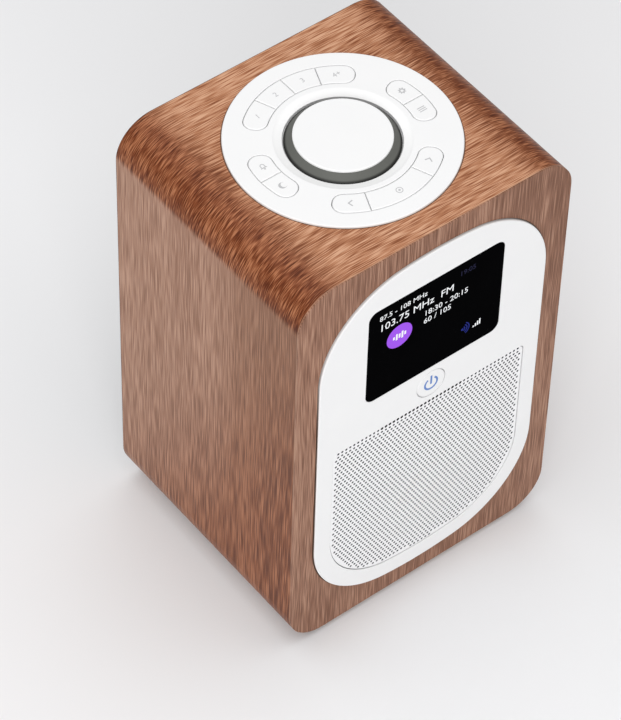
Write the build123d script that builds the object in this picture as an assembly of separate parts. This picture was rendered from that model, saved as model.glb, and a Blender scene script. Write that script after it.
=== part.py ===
from build123d import *
import math
import os

# Frame: x to the right, y from the front to the back, z up, millimetres.
# The origin is on the table under the middle of the whole radio.

# Wooden cabinet
CABINET_W = 125.0
CABINET_D = 108.0
CABINET_H = 194.0
CABINET_R = 16.0
WALL = 7.0
FOOT_H = 3.0
VENEER = 0.6
BAFFLE_T = 12.0
FIT_GAP = 0.3

# White front bezel with its display, button and grille openings
BEZEL_W = 105.3
BEZEL_H = 175.7
BEZEL_R = 40.5
BEZEL_PROUD = 1.0
BEZEL_T = 3.6
CROWN_DEG = 7.1
EDGE_R = 0.4
BEZEL_GAP = 0.35
WINDOW_W = 62.8
WINDOW_H = 48.6
WINDOW_R = 4.0
WINDOW_Z = 145.5
LENS_FLANGE = 1.6
LENS_SINK = 0.05
LENS_GAP = 0.1
LENS_PANE_T = 1.5
LENS_FLANGE_T = 1.1
BOARD_T = 1.6
BUTTON_R = 6.5
BUTTON_Z = 111.9
BUTTON_TRAVEL = 0.6
BUTTON_GAP = 0.2
GRILLE_W = 90.9
GRILLE_TOP = 102.7
GRILLE_BOTTOM = 17.4
GRILLE_TOP_R = 2.5
GRILLE_R = 33.5
GRILLE_SINK = 0.3
GRILLE_RECESS = 1.0
GRILLE_T = 0.5
GRILLE_LIP = 2.0
CLOTH_T = 0.3

# Loudspeaker
SPEAKER_Z = 60.0
SPEAKER_R = 39.0
CONE_R = 28.0
SURROUND_R = 33.0
COIL_R = 10.0
COIL_T = 0.5
POLE_R = 9.0
PLATE_BORE_R = 11.2
PLATE_R = 20.0
MAGNET_R = 24.0
MAGNET_BORE_R = 13.2
YOKE_R = 22.0
SHEET = 1.2

# Round control panel on the top
PANEL_R = 43.7
PANEL_PROUD = 0.9
PANEL_SHIFT = 1.0
PANEL_PLUG_R = 41.7
PANEL_WALL = 2.8
PANEL_T = 2.2
WELL_R = 22.0
WELL_MOUTH_R = 25.5
WELL_DEPTH = 2.9
WELL_WALL = 1.7
KEY_R_IN = 27.9
KEY_R_OUT = 36.85
KEY_CORNER_R = 4.1
KEY_GAP = 0.22
KEY_PROUD = 0.1
KEY_TRAVEL = 0.5
KNOB_R = 21.5
KNOB_TOP_R = 18.6
KNOB_CAP_R = 18.3
KNOB_SINK = 1.9
KNOB_RISE = 1.8
KNOB_CAP_T = 0.9
SHAFT_R = 3.0
SHAFT_CLEARANCE = 0.05
BOARD_DROP = 9.9

# Back of the radio
COVER_T = 3.0
COVER_SINK = 1.5
BLOCK = 8.0
BLOCK_D = 12.0
DOOR_W = 64.0
DOOR_H = 56.0
DOOR_T = 2.4
DOOR_X = -8.0
DOOR_Z = 14.0
BAY_D = 31.0
BAY_WALL = 2.0
SOCKET_Z = 84.0
SOCKET_BODY = 11.0
SOCKET_SIDE = 12.0
JACK_NOSE_R = 3.9
JACK_BORE_R = 1.8
JACK_BORE_D = 14.0
INLET_NOSE_R = 4.6
INLET_BORE_R = 2.75
INLET_PIN_R = 1.05
ANTENNA_X = 40.0
ANTENNA_Z = 172.0
ANTENNA_OFF = 4.5
ANTENNA_R = 3.0
ANTENNA_STAGES = 4
TUBE_STEP = 0.5
TUBE_CLEARANCE = 0.05
TUBE_L = 120.0
EAR_R = 4.0

# Places that follow from the sizes above
TOTAL_D = BEZEL_PROUD + CABINET_D + ANTENNA_OFF + EAR_R
FRONT = BEZEL_PROUD - TOTAL_D / 2
BACK = FRONT + CABINET_D
MID_Z = FOOT_H + CABINET_H / 2
TOP = FOOT_H + CABINET_H
SURFACE = TOP + PANEL_PROUD
PANEL_Y = FRONT + CABINET_D / 2 + PANEL_SHIFT
BEZEL_FACE = FRONT - BEZEL_PROUD
BEZEL_BACK = BEZEL_FACE + BEZEL_T
BAFFLE_BACK = FRONT + VENEER + BAFFLE_T
LENS_FACE = BEZEL_FACE + LENS_SINK
LENS_SEAT = LENS_FACE + LENS_PANE_T
GRILLE_FACE = BEZEL_FACE + GRILLE_SINK
GRILLE_Y = BEZEL_FACE + GRILLE_RECESS
COVER_FACE = BACK - COVER_SINK
COVER_BACK = COVER_FACE - COVER_T
ANTENNA_Y = BACK + ANTENNA_OFF
BOARD_TOP = SURFACE - BOARD_DROP


def facing(y, x=0.0, z=0.0):
    """A plane that faces the front, with its own x to the right and its own y up."""
    return Plane(origin=(x, y, z), x_dir=(1, 0, 0), z_dir=(0, -1, 0))


def slab(sketch, y_front, y_back, x=0.0, z=0.0):
    """A plate with the sketch's outline between two depths."""
    return extrude(facing(y_back, x, z) * sketch, amount=y_back - y_front)


def rod(radius, y_front, y_back, x=0.0, z=0.0):
    """A round bar that runs from front to back."""
    return slab(Circle(radius), y_front, y_back, x, z)


def post(radius, z_low, z_high, x=0.0, y=0.0):
    """A round bar that stands upright."""
    return extrude(Plane((x, y, z_low)) * Circle(radius), amount=z_high - z_low)


def block(x_range, y_range, z_range):
    """A box between two corners."""
    sizes = [high - low for low, high in (x_range, y_range, z_range)]
    centre = [(high + low) / 2 for low, high in (x_range, y_range, z_range)]
    return Pos(*centre) * Box(*sizes)


def turned(points, base):
    """A solid turned from a radius and height outline about the z axis of a plane."""
    return revolve(base * make_face(Polyline(*points, close=True)), Axis(base.origin, base.y_dir))


def upright(y):
    """The plane that a shape turned about a vertical axis at a depth is drawn on."""
    return Plane(origin=(0, y, 0), x_dir=(1, 0, 0), z_dir=(0, -1, 0))


def lying(z):
    """The plane that a shape turned about a front to back axis at a height is drawn on."""
    return Plane(origin=(0, FRONT, z), x_dir=(1, 0, 0), z_dir=(0, 0, 1))


def crowned_outline(width, height, radius):
    """An upright outline with large round corners and slightly crowned ends."""
    half_w, half_h = width / 2, height / 2
    lean = math.radians(CROWN_DEG)
    centre_x = half_w - radius
    join_x = centre_x + radius * math.sin(lean)
    crown_r = join_x / math.sin(lean)
    join_y = half_h - crown_r * (1 - math.cos(lean))
    side_y = join_y - radius * math.cos(lean)
    half_turn = (math.pi / 2 - lean) / 2
    bend_x = centre_x + radius * math.cos(half_turn)
    bend_y = side_y + radius * math.sin(half_turn)
    edges = []
    for up in (1, -1):
        edges.append(ThreePointArc((join_x, up * join_y), (0, up * half_h), (-join_x, up * join_y)))
        for side in (1, -1):
            start = (side * half_w, up * side_y)
            edges.append(ThreePointArc(start, (side * bend_x, up * bend_y), (side * join_x, up * join_y)))
    for side in (1, -1):
        edges.append(Line((side * half_w, -side_y), (side * half_w, side_y)))
    return make_face(edges)


def grille_outline(grow):
    """The grille's outline about its own centre: square at the top and round at the bottom."""
    width = GRILLE_W + 2 * grow
    height = GRILLE_TOP - GRILLE_BOTTOM + 2 * grow
    whole = crowned_outline(width, 2 * height, GRILLE_R + grow)
    lower = (Pos(0, height / 2) * whole) & Rectangle(width, height)
    return fillet(lower.vertices().group_by(Axis.Y)[-1], GRILLE_TOP_R)


GRILLE_MID = FOOT_H + (GRILLE_TOP + GRILLE_BOTTOM) / 2
CABINET_HOLE = RectangleRounded(CABINET_W - 2 * WALL, CABINET_H - 2 * WALL, CABINET_R - WALL)

# Screws that hold the bezel, the loudspeaker and the control panel from inside
SCREW_R = 1.2
SCREW_HOLE_R = 1.25
SCREW_L = 9.0
SCREW_HEAD_R = 2.3
SCREW_HEAD_T = 1.6
BEZEL_SCREW_X = 50.0
BEZEL_SCREW_Z = (FOOT_H + 62.0, FOOT_H + 130.0)
BEZEL_SCREW_DEPTH = 1.4
BEZEL_SCREWS = [(side * BEZEL_SCREW_X, z) for side in (1, -1) for z in BEZEL_SCREW_Z]
SPEAKER_SCREW_R = 36.6
SPEAKER_SCREW_DEG = (45, 135, 225, 315)
PANEL_SCREW_R = PANEL_PLUG_R - PANEL_WALL / 2
PANEL_SCREW_DEG = (30, 150, 210, 330)


def around(radius, middle, angles):
    """Places on a circle whose centre lies at zero and at a second coordinate."""
    turns = [math.radians(angle) for angle in angles]
    return [(radius * math.cos(turn), middle + radius * math.sin(turn)) for turn in turns]


SPEAKER_SCREWS = around(SPEAKER_SCREW_R, FOOT_H + SPEAKER_Z, SPEAKER_SCREW_DEG)
PANEL_SCREWS = around(PANEL_SCREW_R, PANEL_Y, PANEL_SCREW_DEG)
GASKET_T = 1.0
FLANGE_T = 1.5
FLANGE_FRONT = BAFFLE_BACK + GASKET_T
FLANGE_BACK = FLANGE_FRONT + FLANGE_T
BEZEL_HEAD = BEZEL_BACK - BEZEL_SCREW_DEPTH + SCREW_L
RETAINER_T = 2.0
RETAINER_LOW = BOARD_TOP - BOARD_T - RETAINER_T

# Cover screws, glue blocks, and the posts that carry the main board
COVER_SCREW_X = CABINET_W / 2 - WALL - BLOCK / 2
COVER_SCREW_Z = (FOOT_H + 20.0, FOOT_H + 97.0, FOOT_H + 160.0)
COVER_SCREWS = [(side * COVER_SCREW_X, z) for side in (1, -1) for z in COVER_SCREW_Z]
COVER_SCREW_R = 1.5
COVER_HEAD_R = 3.0
COVER_HEAD_T = 1.2
COVER_SCREW_L = 11.0
MAIN_BOARD_X = (-46.0, 28.0)
MAIN_BOARD_Z = (FOOT_H + 76.0, FOOT_H + 166.0)
MAIN_BOARD_BACK = COVER_BACK - SOCKET_BODY
POST_INSET = 5.0
LOW_POST_INSET = 20.0


def cabinet_shell():
    """The wooden tube: outer and inner rounded outlines, the panel hole and six glue blocks."""
    outline = RectangleRounded(CABINET_W, CABINET_H, CABINET_R)
    tube = slab(outline - CABINET_HOLE, FRONT + VENEER, BACK, z=MID_Z)
    inner_x = CABINET_W / 2 - WALL
    for x, z in COVER_SCREWS:
        side = math.copysign(1, x)
        span = sorted((side * (inner_x - BLOCK), side * inner_x))
        tube += block(span, (COVER_BACK - BLOCK_D, COVER_BACK), (z - BLOCK / 2, z + BLOCK / 2))
        tube -= rod(COVER_SCREW_R, COVER_FACE - COVER_SCREW_L, COVER_BACK, x, z)
    return tube - post(PANEL_PLUG_R + FIT_GAP, TOP - 2 * WALL, TOP, y=PANEL_Y)


def front_veneer():
    """The sheet of veneer that covers the front up to the bezel."""
    outline = RectangleRounded(CABINET_W, CABINET_H, CABINET_R)
    hole = crowned_outline(BEZEL_W + 2 * BEZEL_GAP, BEZEL_H + 2 * BEZEL_GAP, BEZEL_R + BEZEL_GAP)
    return slab(outline - hole, FRONT, FRONT + VENEER, z=MID_Z)


DISPLAY_BOARD_W = 80.0
DISPLAY_BOARD_Z = (FOOT_H + 104.0, FOOT_H + 174.0)
SCREEN_W = 69.2
SCREEN_H = 50.0
SCREEN_T = 2.9
DISPLAY_BOARD_FRONT = BEZEL_BACK + SCREEN_T
BOARD_ROOM = 1.0
SPEAKER_HOLE_R = 34.0


def front_baffle():
    """The board behind the front: a pocket for the bezel, the display cut-out and the speaker hole."""
    board = slab(CABINET_HOLE, FRONT + VENEER, BAFFLE_BACK, z=MID_Z)
    pocket = crowned_outline(BEZEL_W + 2 * BEZEL_GAP, BEZEL_H + 2 * BEZEL_GAP, BEZEL_R + BEZEL_GAP)
    board -= slab(pocket, FRONT, BEZEL_BACK, z=MID_Z)
    half_w = DISPLAY_BOARD_W / 2 + BOARD_ROOM
    low, high = DISPLAY_BOARD_Z
    board -= block((-half_w, half_w), (FRONT, BAFFLE_BACK), (low - BOARD_ROOM, high + BOARD_ROOM))
    board -= rod(SPEAKER_HOLE_R, FRONT, BAFFLE_BACK, z=FOOT_H + SPEAKER_Z)
    for x, z in BEZEL_SCREWS:
        board -= rod(SCREW_HOLE_R, FRONT, BAFFLE_BACK, x, z)
        board -= rod(SCREW_HEAD_R + FIT_GAP, BEZEL_HEAD, BAFFLE_BACK, x, z)
    for x, z in SPEAKER_SCREWS:
        board -= rod(SCREW_HOLE_R, FLANGE_BACK - SCREW_L, BAFFLE_BACK, x, z)
    return board


FOOT_R = 6.0
FOOT_INSET = 17.0


def feet():
    """Four round rubber feet under the corners."""
    x = CABINET_W / 2 - FOOT_INSET
    places = [(side * x, y) for side in (1, -1) for y in (FRONT + FOOT_INSET, BACK - FOOT_INSET)]
    return Compound([post(FOOT_R, 0, FOOT_H, *place).solid() for place in places])


BOSS_R = 2.2
BOSS_X = 37.3


def front_bezel():
    """The white front plate with its window, button hole, grille opening and board bosses."""
    plate = slab(crowned_outline(BEZEL_W, BEZEL_H, BEZEL_R), BEZEL_FACE, BEZEL_BACK, z=MID_Z)
    plate = fillet(plate.faces().sort_by(Axis.Y)[0].edges(), EDGE_R)
    window_z = FOOT_H + WINDOW_Z
    plate -= slab(RectangleRounded(WINDOW_W, WINDOW_H, WINDOW_R), BEZEL_FACE, BEZEL_BACK, z=window_z)
    flange = 2 * (LENS_FLANGE + FIT_GAP)
    seat = RectangleRounded(WINDOW_W + flange, WINDOW_H + flange, WINDOW_R)
    plate -= slab(seat, LENS_SEAT, BEZEL_BACK, z=window_z)
    plate -= slab(grille_outline(0), BEZEL_FACE, BEZEL_BACK, z=GRILLE_MID)
    plate -= slab(grille_outline(GRILLE_LIP), GRILLE_Y, BEZEL_BACK, z=GRILLE_MID)
    plate -= rod(BUTTON_R + FIT_GAP, BEZEL_FACE, BEZEL_BACK, z=FOOT_H + BUTTON_Z)
    for x, z in BEZEL_SCREWS:
        plate -= rod(SCREW_HOLE_R, BEZEL_BACK - BEZEL_SCREW_DEPTH, BEZEL_BACK, x, z)
    low, high = DISPLAY_BOARD_Z
    for side in (1, -1):
        for z in (low + BOSS_R, high - BOSS_R):
            plate += rod(BOSS_R, BEZEL_BACK, DISPLAY_BOARD_FRONT, side * BOSS_X, z)
    return plate


def display_lens():
    """The black window, flush in the bezel and held by a flange behind it."""
    z = FOOT_H + WINDOW_Z
    pane = RectangleRounded(WINDOW_W - 2 * LENS_GAP, WINDOW_H - 2 * LENS_GAP, WINDOW_R)
    flange = RectangleRounded(WINDOW_W + 2 * LENS_FLANGE, WINDOW_H + 2 * LENS_FLANGE, WINDOW_R)
    lens = slab(pane, LENS_FACE, LENS_SEAT, z=z)
    return lens + slab(flange, LENS_SEAT, LENS_SEAT + LENS_FLANGE_T, z=z)


def display_parts():
    """The flat colour screen and the board behind it."""
    z = FOOT_H + WINDOW_Z
    screen = slab(Rectangle(SCREEN_W, SCREEN_H), BEZEL_BACK, DISPLAY_BOARD_FRONT, z=z)
    half_w = DISPLAY_BOARD_W / 2
    back = DISPLAY_BOARD_FRONT + BOARD_T
    board = block((-half_w, half_w), (DISPLAY_BOARD_FRONT, back), DISPLAY_BOARD_Z)
    return screen, board


BUTTON_FLANGE_R = 8.0
BUTTON_FLANGE_T = 0.8
SWITCH_SIDE = 6.0


def power_parts():
    """The round power button with its hidden flange, and the flat switch behind it."""
    z = FOOT_H + BUTTON_Z
    flange_y = BEZEL_BACK + BUTTON_GAP
    flange_back = flange_y + BUTTON_FLANGE_T
    button = rod(BUTTON_R, BEZEL_FACE, flange_back, z=z)
    button = fillet(button.faces().sort_by(Axis.Y)[0].edges(), EDGE_R / 2)
    button += rod(BUTTON_FLANGE_R, flange_y, flange_back, z=z)
    switch_y = flange_back + BUTTON_TRAVEL + BUTTON_GAP
    switch = slab(Rectangle(SWITCH_SIDE, SWITCH_SIDE), switch_y, DISPLAY_BOARD_FRONT, z=z)
    return button, switch


def grille_parts():
    """The grille, pressed to stand in the bezel's opening with a flange behind its lip, and the cloth."""
    cloth_y = GRILLE_Y + GRILLE_T
    sheet = slab(grille_outline(GRILLE_LIP - FIT_GAP), GRILLE_Y, cloth_y, z=GRILLE_MID)
    sheet += slab(grille_outline(-FIT_GAP), GRILLE_FACE, GRILLE_Y, z=GRILLE_MID)
    sheet -= slab(grille_outline(-FIT_GAP - GRILLE_T), GRILLE_FACE + GRILLE_T, cloth_y, z=GRILLE_MID)
    cloth = slab(grille_outline(GRILLE_LIP - FIT_GAP), cloth_y, cloth_y + CLOTH_T, z=GRILLE_MID)
    return sheet, cloth


def mounting_screw():
    """One screw along the z axis, with its head's seat at the origin and its tip below."""
    return post(SCREW_R, -SCREW_L, 0) + post(SCREW_HEAD_R, 0, SCREW_HEAD_T)


def mounting_screws():
    """The identical screws of the bezel, the loudspeaker and the control panel."""
    screw = mounting_screw()
    turned_back = Rot(-90, 0, 0)
    placed = [Pos(x, BEZEL_HEAD, z) * turned_back * screw for x, z in BEZEL_SCREWS]
    placed += [Pos(x, FLANGE_BACK, z) * turned_back * screw for x, z in SPEAKER_SCREWS]
    placed += [Pos(x, y, RETAINER_LOW) * Rot(180, 0, 0) * screw for x, y in PANEL_SCREWS]
    return Compound([one.solid() for one in placed])


PLATE_Y = 33.0
PLATE_T = 3.0
MAGNET_T = 8.0
YOKE_T = 3.0
CONE_FRONT = 14.9
CONE_BACK = 28.0
CONE_T = 0.6
CONE_RIM = 1.0
COIL_BACK = 38.5
SPIDER_Y = 29.5
SPIDER_R = 19.4
SPIDER_WAVES = 4
SPIDER_DEPTH = 0.8
SPIDER_T = 0.4
ROLL_T = 0.5
BASKET_NECK_R = 20.4
DUST_RISE = 3.0
BASKET_WINDOW_W = 18.0
BASKET_WINDOW_FROM = 12.0
BASKET_BAND = 3.0
BASKET_WINDOW_DEG = (0, 90, 180, 270)


def speaker_frame():
    """The pressed steel basket: a flange, a sloping wall with four windows and a floor."""
    flange_y = FLANGE_FRONT - FRONT
    bend_y = flange_y + FLANGE_T
    outline = [
        (SPEAKER_R, flange_y), (SPEAKER_R, bend_y), (SURROUND_R + SHEET, bend_y),
        (BASKET_NECK_R + SHEET, PLATE_Y), (PLATE_BORE_R, PLATE_Y), (PLATE_BORE_R, PLATE_Y - SHEET),
        (BASKET_NECK_R, PLATE_Y - SHEET), (SURROUND_R, bend_y), (SURROUND_R, flange_y),
    ]
    basket = turned(outline, lying(FOOT_H + SPEAKER_Z))
    z = FOOT_H + SPEAKER_Z
    half = BASKET_WINDOW_W / 2
    depth = (FRONT + bend_y + BASKET_BAND, FRONT + PLATE_Y - SHEET - BASKET_BAND)
    window = block((-half, half), depth, (z + BASKET_WINDOW_FROM, z + SPEAKER_R))
    for angle in BASKET_WINDOW_DEG:
        basket -= window.rotate(Axis((0, 0, z), (0, 1, 0)), angle)
    for x, hole_z in SPEAKER_SCREWS:
        basket -= rod(SCREW_HOLE_R, FLANGE_FRONT, FLANGE_BACK, x, hole_z)
    return basket


def speaker_motor():
    """The top plate, the ring magnet and the yoke with its pole."""
    base = lying(FOOT_H + SPEAKER_Z)
    magnet_y = PLATE_Y + PLATE_T
    yoke_y = magnet_y + MAGNET_T
    yoke_back = yoke_y + YOKE_T
    plate = [(PLATE_BORE_R, PLATE_Y), (PLATE_R, PLATE_Y), (PLATE_R, magnet_y), (PLATE_BORE_R, magnet_y)]
    magnet = [(MAGNET_BORE_R, magnet_y), (MAGNET_R, magnet_y), (MAGNET_R, yoke_y), (MAGNET_BORE_R, yoke_y)]
    pole = [(0, PLATE_Y), (POLE_R, PLATE_Y), (POLE_R, yoke_y)]
    yoke = pole + [(YOKE_R, yoke_y), (YOKE_R, yoke_back), (0, yoke_back)]
    return [turned(outline, base) for outline in (plate, magnet, yoke)]


def speaker_moving_parts():
    """The paper cone with its domed cap, the voice coil, the rolled surround and the corrugated spider."""
    base = lying(FOOT_H + SPEAKER_Z)
    coil_out = COIL_R + COIL_T
    cap_y = CONE_BACK - CONE_T
    rim_r = CONE_R - CONE_RIM
    dome_r = (coil_out ** 2 + DUST_RISE ** 2) / (2 * DUST_RISE)
    half_turn = math.asin(coil_out / dome_r) / 2
    halfway = (dome_r * math.sin(half_turn), cap_y - DUST_RISE + dome_r * (1 - math.cos(half_turn)))
    inner = ThreePointArc((coil_out, cap_y), halfway, (0, cap_y - DUST_RISE))
    outer = Pos(0, -CONE_T) * inner
    rim_back = CONE_FRONT + CONE_T
    neck = [(coil_out, cap_y), (coil_out, CONE_BACK), (coil_out + CONE_T, CONE_BACK)]
    rim = [(rim_r, rim_back), (CONE_R, rim_back), (CONE_R, CONE_FRONT), (rim_r, CONE_FRONT)]
    wall = Polyline(*neck, *rim, (coil_out, cap_y - CONE_T))
    cone_edges = [inner, *wall.edges(), outer, Line(inner @ 1, outer @ 1)]
    cone = revolve(base * make_face(cone_edges), Axis(base.origin, base.y_dir))
    coil = turned([(COIL_R, cap_y), (coil_out, cap_y), (coil_out, COIL_BACK), (COIL_R, COIL_BACK)], base)
    roll_mid = (CONE_R + SURROUND_R) / 2
    roll_r = (SURROUND_R - CONE_R) / 2
    roll_y = CONE_FRONT
    hump = ThreePointArc((CONE_R, roll_y), (roll_mid, roll_y - roll_r), (SURROUND_R, roll_y))
    under_top = (roll_mid, roll_y - roll_r + ROLL_T)
    under = ThreePointArc((CONE_R + ROLL_T, roll_y), under_top, (SURROUND_R - ROLL_T, roll_y))
    roll_edges = [hump, under, Line(hump @ 0, under @ 0), Line(hump @ 1, under @ 1)]
    surround = revolve(base * make_face(roll_edges), Axis(base.origin, base.y_dir))
    count = 2 * SPIDER_WAVES
    radii = [coil_out + (SPIDER_R - coil_out) * i / count for i in range(count + 1)]
    lift = [SPIDER_DEPTH * (i % 2) for i in range(count + 1)]
    near = [(r, SPIDER_Y + rise) for r, rise in zip(radii, lift)]
    far = [(r, SPIDER_Y + rise + SPIDER_T) for r, rise in zip(radii, lift)]
    foot_r = SPIDER_R + SPIDER_T
    floor_y = PLATE_Y - SHEET
    foot = [(foot_r, SPIDER_Y), (foot_r, floor_y), (SPIDER_R, floor_y)]
    spider = turned(near + foot + far[::-1], base)
    return cone, coil, surround, spider


def speaker_gasket():
    """The foam ring between the loudspeaker's flange and the baffle."""
    ring = Circle(SPEAKER_R) - Circle(SPEAKER_HOLE_R)
    gasket = slab(ring, BAFFLE_BACK, FLANGE_FRONT, z=FOOT_H + SPEAKER_Z)
    for x, z in SPEAKER_SCREWS:
        gasket -= rod(SCREW_HOLE_R, BAFFLE_BACK, FLANGE_FRONT, x, z)
    return gasket


def ring_sector(grow, start_deg, end_deg):
    """A piece of a flat ring with rounded corners, in the key ring's radii grown all round."""
    r_in, r_out = KEY_R_IN - grow, KEY_R_OUT + grow
    edges = []
    for radius in (r_in, r_out):
        spread = math.degrees(grow / radius)
        edges.append(CenterArc((0, 0), radius, start_deg - spread, end_deg - start_deg + 2 * spread))
    inner, outer = edges
    face = make_face([inner, outer, Line(inner @ 0, outer @ 0), Line(inner @ 1, outer @ 1)])
    return fillet(face.vertices(), KEY_CORNER_R + grow)


# Key groups: the angles of the ends and dividers, then the key names in the same turn
KEY_GROUPS = (
    ((44, 68, 90, 112, 136), ("key_preset_4", "key_preset_3", "key_preset_2", "key_preset_1")),
    ((159.4, 180, 200.6), ("key_alarm", "key_snooze")),
    ((-135, -112.25, -67.75, -45), ("key_back", "key_select", "key_forward")),
    ((-20.6, 0, 20.6), ("key_menu", "key_settings")),
)
KEY_FLANGE_R = 38.2
KEY_FLANGE_INSET_DEG = 4.0
FLANGE_GAP = 0.15
KEY_FLANGE_T = 0.9
STEM_R = 1.6
STEM_L = 2.2
KEY_EDGE_R = 0.45
KEY_MID_R = (KEY_R_IN + KEY_R_OUT) / 2


def at_panel(z):
    """The level plane at a height whose origin is on the knob's axis."""
    return Plane((0, PANEL_Y, z))


def keys():
    """Every key by name, with a rim under the panel and a stem towards its switch."""
    top = SURFACE + KEY_PROUD
    rim_top = SURFACE - PANEL_T - FLANGE_GAP
    low = rim_top - KEY_FLANGE_T
    made = {}
    for angles, names in KEY_GROUPS:
        whole = ring_sector(0, angles[0], angles[-1])
        for divider in angles[1:-1]:
            whole -= Rot(0, 0, divider) * Pos(KEY_MID_R, 0) * Rectangle(2 * KEY_R_OUT, KEY_GAP)
        for name, start, end in zip(names, angles, angles[1:]):
            middle = math.radians((start + end) / 2)
            toward = Vector(math.cos(middle), math.sin(middle))
            face = max(whole.faces(), key=lambda one: one.center().dot(toward))
            cap = extrude(at_panel(low) * face, amount=top - low)
            cap = fillet(cap.faces().sort_by(Axis.Z)[-1].edges(), KEY_EDGE_R)
            rim_start = start + KEY_FLANGE_INSET_DEG
            rim_sweep = end - start - 2 * KEY_FLANGE_INSET_DEG
            near, far = [CenterArc((0, 0), r, rim_start, rim_sweep) for r in (KEY_MID_R, KEY_FLANGE_R)]
            rim = make_face([near, far, Line(near @ 0, far @ 0), Line(near @ 1, far @ 1)])
            cap += extrude(at_panel(low) * rim, amount=KEY_FLANGE_T)
            stem_x, stem_y = KEY_MID_R * toward.X, PANEL_Y + KEY_MID_R * toward.Y
            made[name] = cap + post(STEM_R, low - STEM_L, low, stem_x, stem_y)
    return made


KEY_SWITCH_GAP = 0.2


def key_switches():
    """The switch under every key's stem, standing on the control board."""
    top = SURFACE - PANEL_T - FLANGE_GAP - KEY_FLANGE_T - STEM_L - KEY_TRAVEL - KEY_SWITCH_GAP
    half = SWITCH_SIDE / 2
    switches = []
    for angles, _ in KEY_GROUPS:
        for start, end in zip(angles, angles[1:]):
            turn = (start + end) / 2
            body = block((KEY_MID_R - half, KEY_MID_R + half), (-half, half), (BOARD_TOP, top))
            switches.append((Pos(0, PANEL_Y, 0) * Rot(0, 0, turn) * body).solid())
    return Compound(switches)


BUSH_R = 3.6
BUSH_HOLE_R = 3.9
FLOOR_T = 1.7
SLOT_OVERCUT = 1.0
SLOT_EDGE_R = 0.3


def control_panel():
    """The white disc: a thin rim on the wood, a plug wall in the hole, a well and four key slots."""
    floor = SURFACE - WELL_DEPTH
    under = SURFACE - PANEL_T
    plug_in = PANEL_PLUG_R - PANEL_WALL
    outline = [
        (BUSH_HOLE_R, floor), (WELL_R, floor), (WELL_R, floor + WELL_WALL), (WELL_MOUTH_R, SURFACE),
        (PANEL_R, SURFACE), (PANEL_R, TOP), (PANEL_PLUG_R, TOP), (PANEL_PLUG_R, BOARD_TOP),
        (plug_in, BOARD_TOP), (plug_in, under), (WELL_MOUTH_R, under),
        (WELL_R + FLOOR_T, floor - FLOOR_T), (BUSH_HOLE_R, floor - FLOOR_T),
    ]
    panel = turned(outline, upright(PANEL_Y))
    rim = [e for e in panel.edges().filter_by(GeomType.CIRCLE) if math.isclose(e.radius, PANEL_R)]
    panel = fillet(max(rim, key=lambda e: e.center().Z), EDGE_R)
    for angles, _ in KEY_GROUPS:
        slot = at_panel(under - SLOT_OVERCUT) * ring_sector(KEY_GAP, angles[0], angles[-1])
        panel -= extrude(slot, amount=PANEL_T + 2 * SLOT_OVERCUT)
    axis = Vector(0, PANEL_Y, SURFACE)
    brim = panel.edges().filter_by_position(Axis.Z, SURFACE, SURFACE)
    between = (WELL_MOUTH_R + KEY_R_IN) / 2
    slot_edges = [e for e in brim if between < ((e @ 0.5) - axis).length < PANEL_PLUG_R]
    panel = fillet(slot_edges, SLOT_EDGE_R)
    for x, y in PANEL_SCREWS:
        panel -= post(SCREW_HOLE_R, BOARD_TOP, RETAINER_LOW + SCREW_L, x, y)
    return panel


BODY_SIDE = 13.0
PLUNGER_R = 4.0
PLUNGER_T = 0.8
PUSH_TRAVEL = 0.5
PLUNGER_REST = 0.1
ENCODER_GAP = 0.4
ENCODER_TOP = SURFACE - WELL_DEPTH - FLOOR_T - ENCODER_GAP
PLUNGER_TOP = BOARD_TOP + PLUNGER_T + PUSH_TRAVEL + PLUNGER_REST


def encoder_parts():
    """The rotary switch's housing, its push plate, and the shaft that carries the knob."""
    half = BODY_SIDE / 2
    body = block((-half, half), (PANEL_Y - half, PANEL_Y + half), (BOARD_TOP, ENCODER_TOP))
    body += post(BUSH_R, ENCODER_TOP, SURFACE - WELL_DEPTH - FIT_GAP, y=PANEL_Y)
    body -= post(SHAFT_R + SHAFT_CLEARANCE, BOARD_TOP, SURFACE, y=PANEL_Y)
    body -= post(PLUNGER_R + FIT_GAP, BOARD_TOP, PLUNGER_TOP + FIT_GAP, y=PANEL_Y)
    plunger = post(PLUNGER_R, PLUNGER_TOP - PLUNGER_T, PLUNGER_TOP, y=PANEL_Y)
    shaft = post(SHAFT_R, PLUNGER_TOP + SHAFT_CLEARANCE, SURFACE + KNOB_RISE - KNOB_CAP_T, y=PANEL_Y)
    return body, plunger, shaft


HUB_R = 6.5
SKIRT_T = 1.6
WEB_T = 1.4


def knob_parts():
    """The grey tapered knob body, hollow below, and the white disc set on its top."""
    low = SURFACE - KNOB_SINK
    seat = SURFACE + KNOB_RISE - KNOB_CAP_T
    outline = [
        (SHAFT_R, low), (HUB_R, low), (HUB_R, seat - WEB_T), (KNOB_TOP_R - SKIRT_T, seat - WEB_T),
        (KNOB_R - SKIRT_T, low), (KNOB_R, low), (KNOB_TOP_R, seat), (SHAFT_R, seat),
    ]
    body = turned(outline, upright(PANEL_Y))
    cap = post(KNOB_CAP_R, seat, seat + KNOB_CAP_T, y=PANEL_Y)
    cap = fillet(cap.faces().sort_by(Axis.Z)[-1].edges(), EDGE_R)
    return body, cap


RETAINER_R = 46.0


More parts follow.
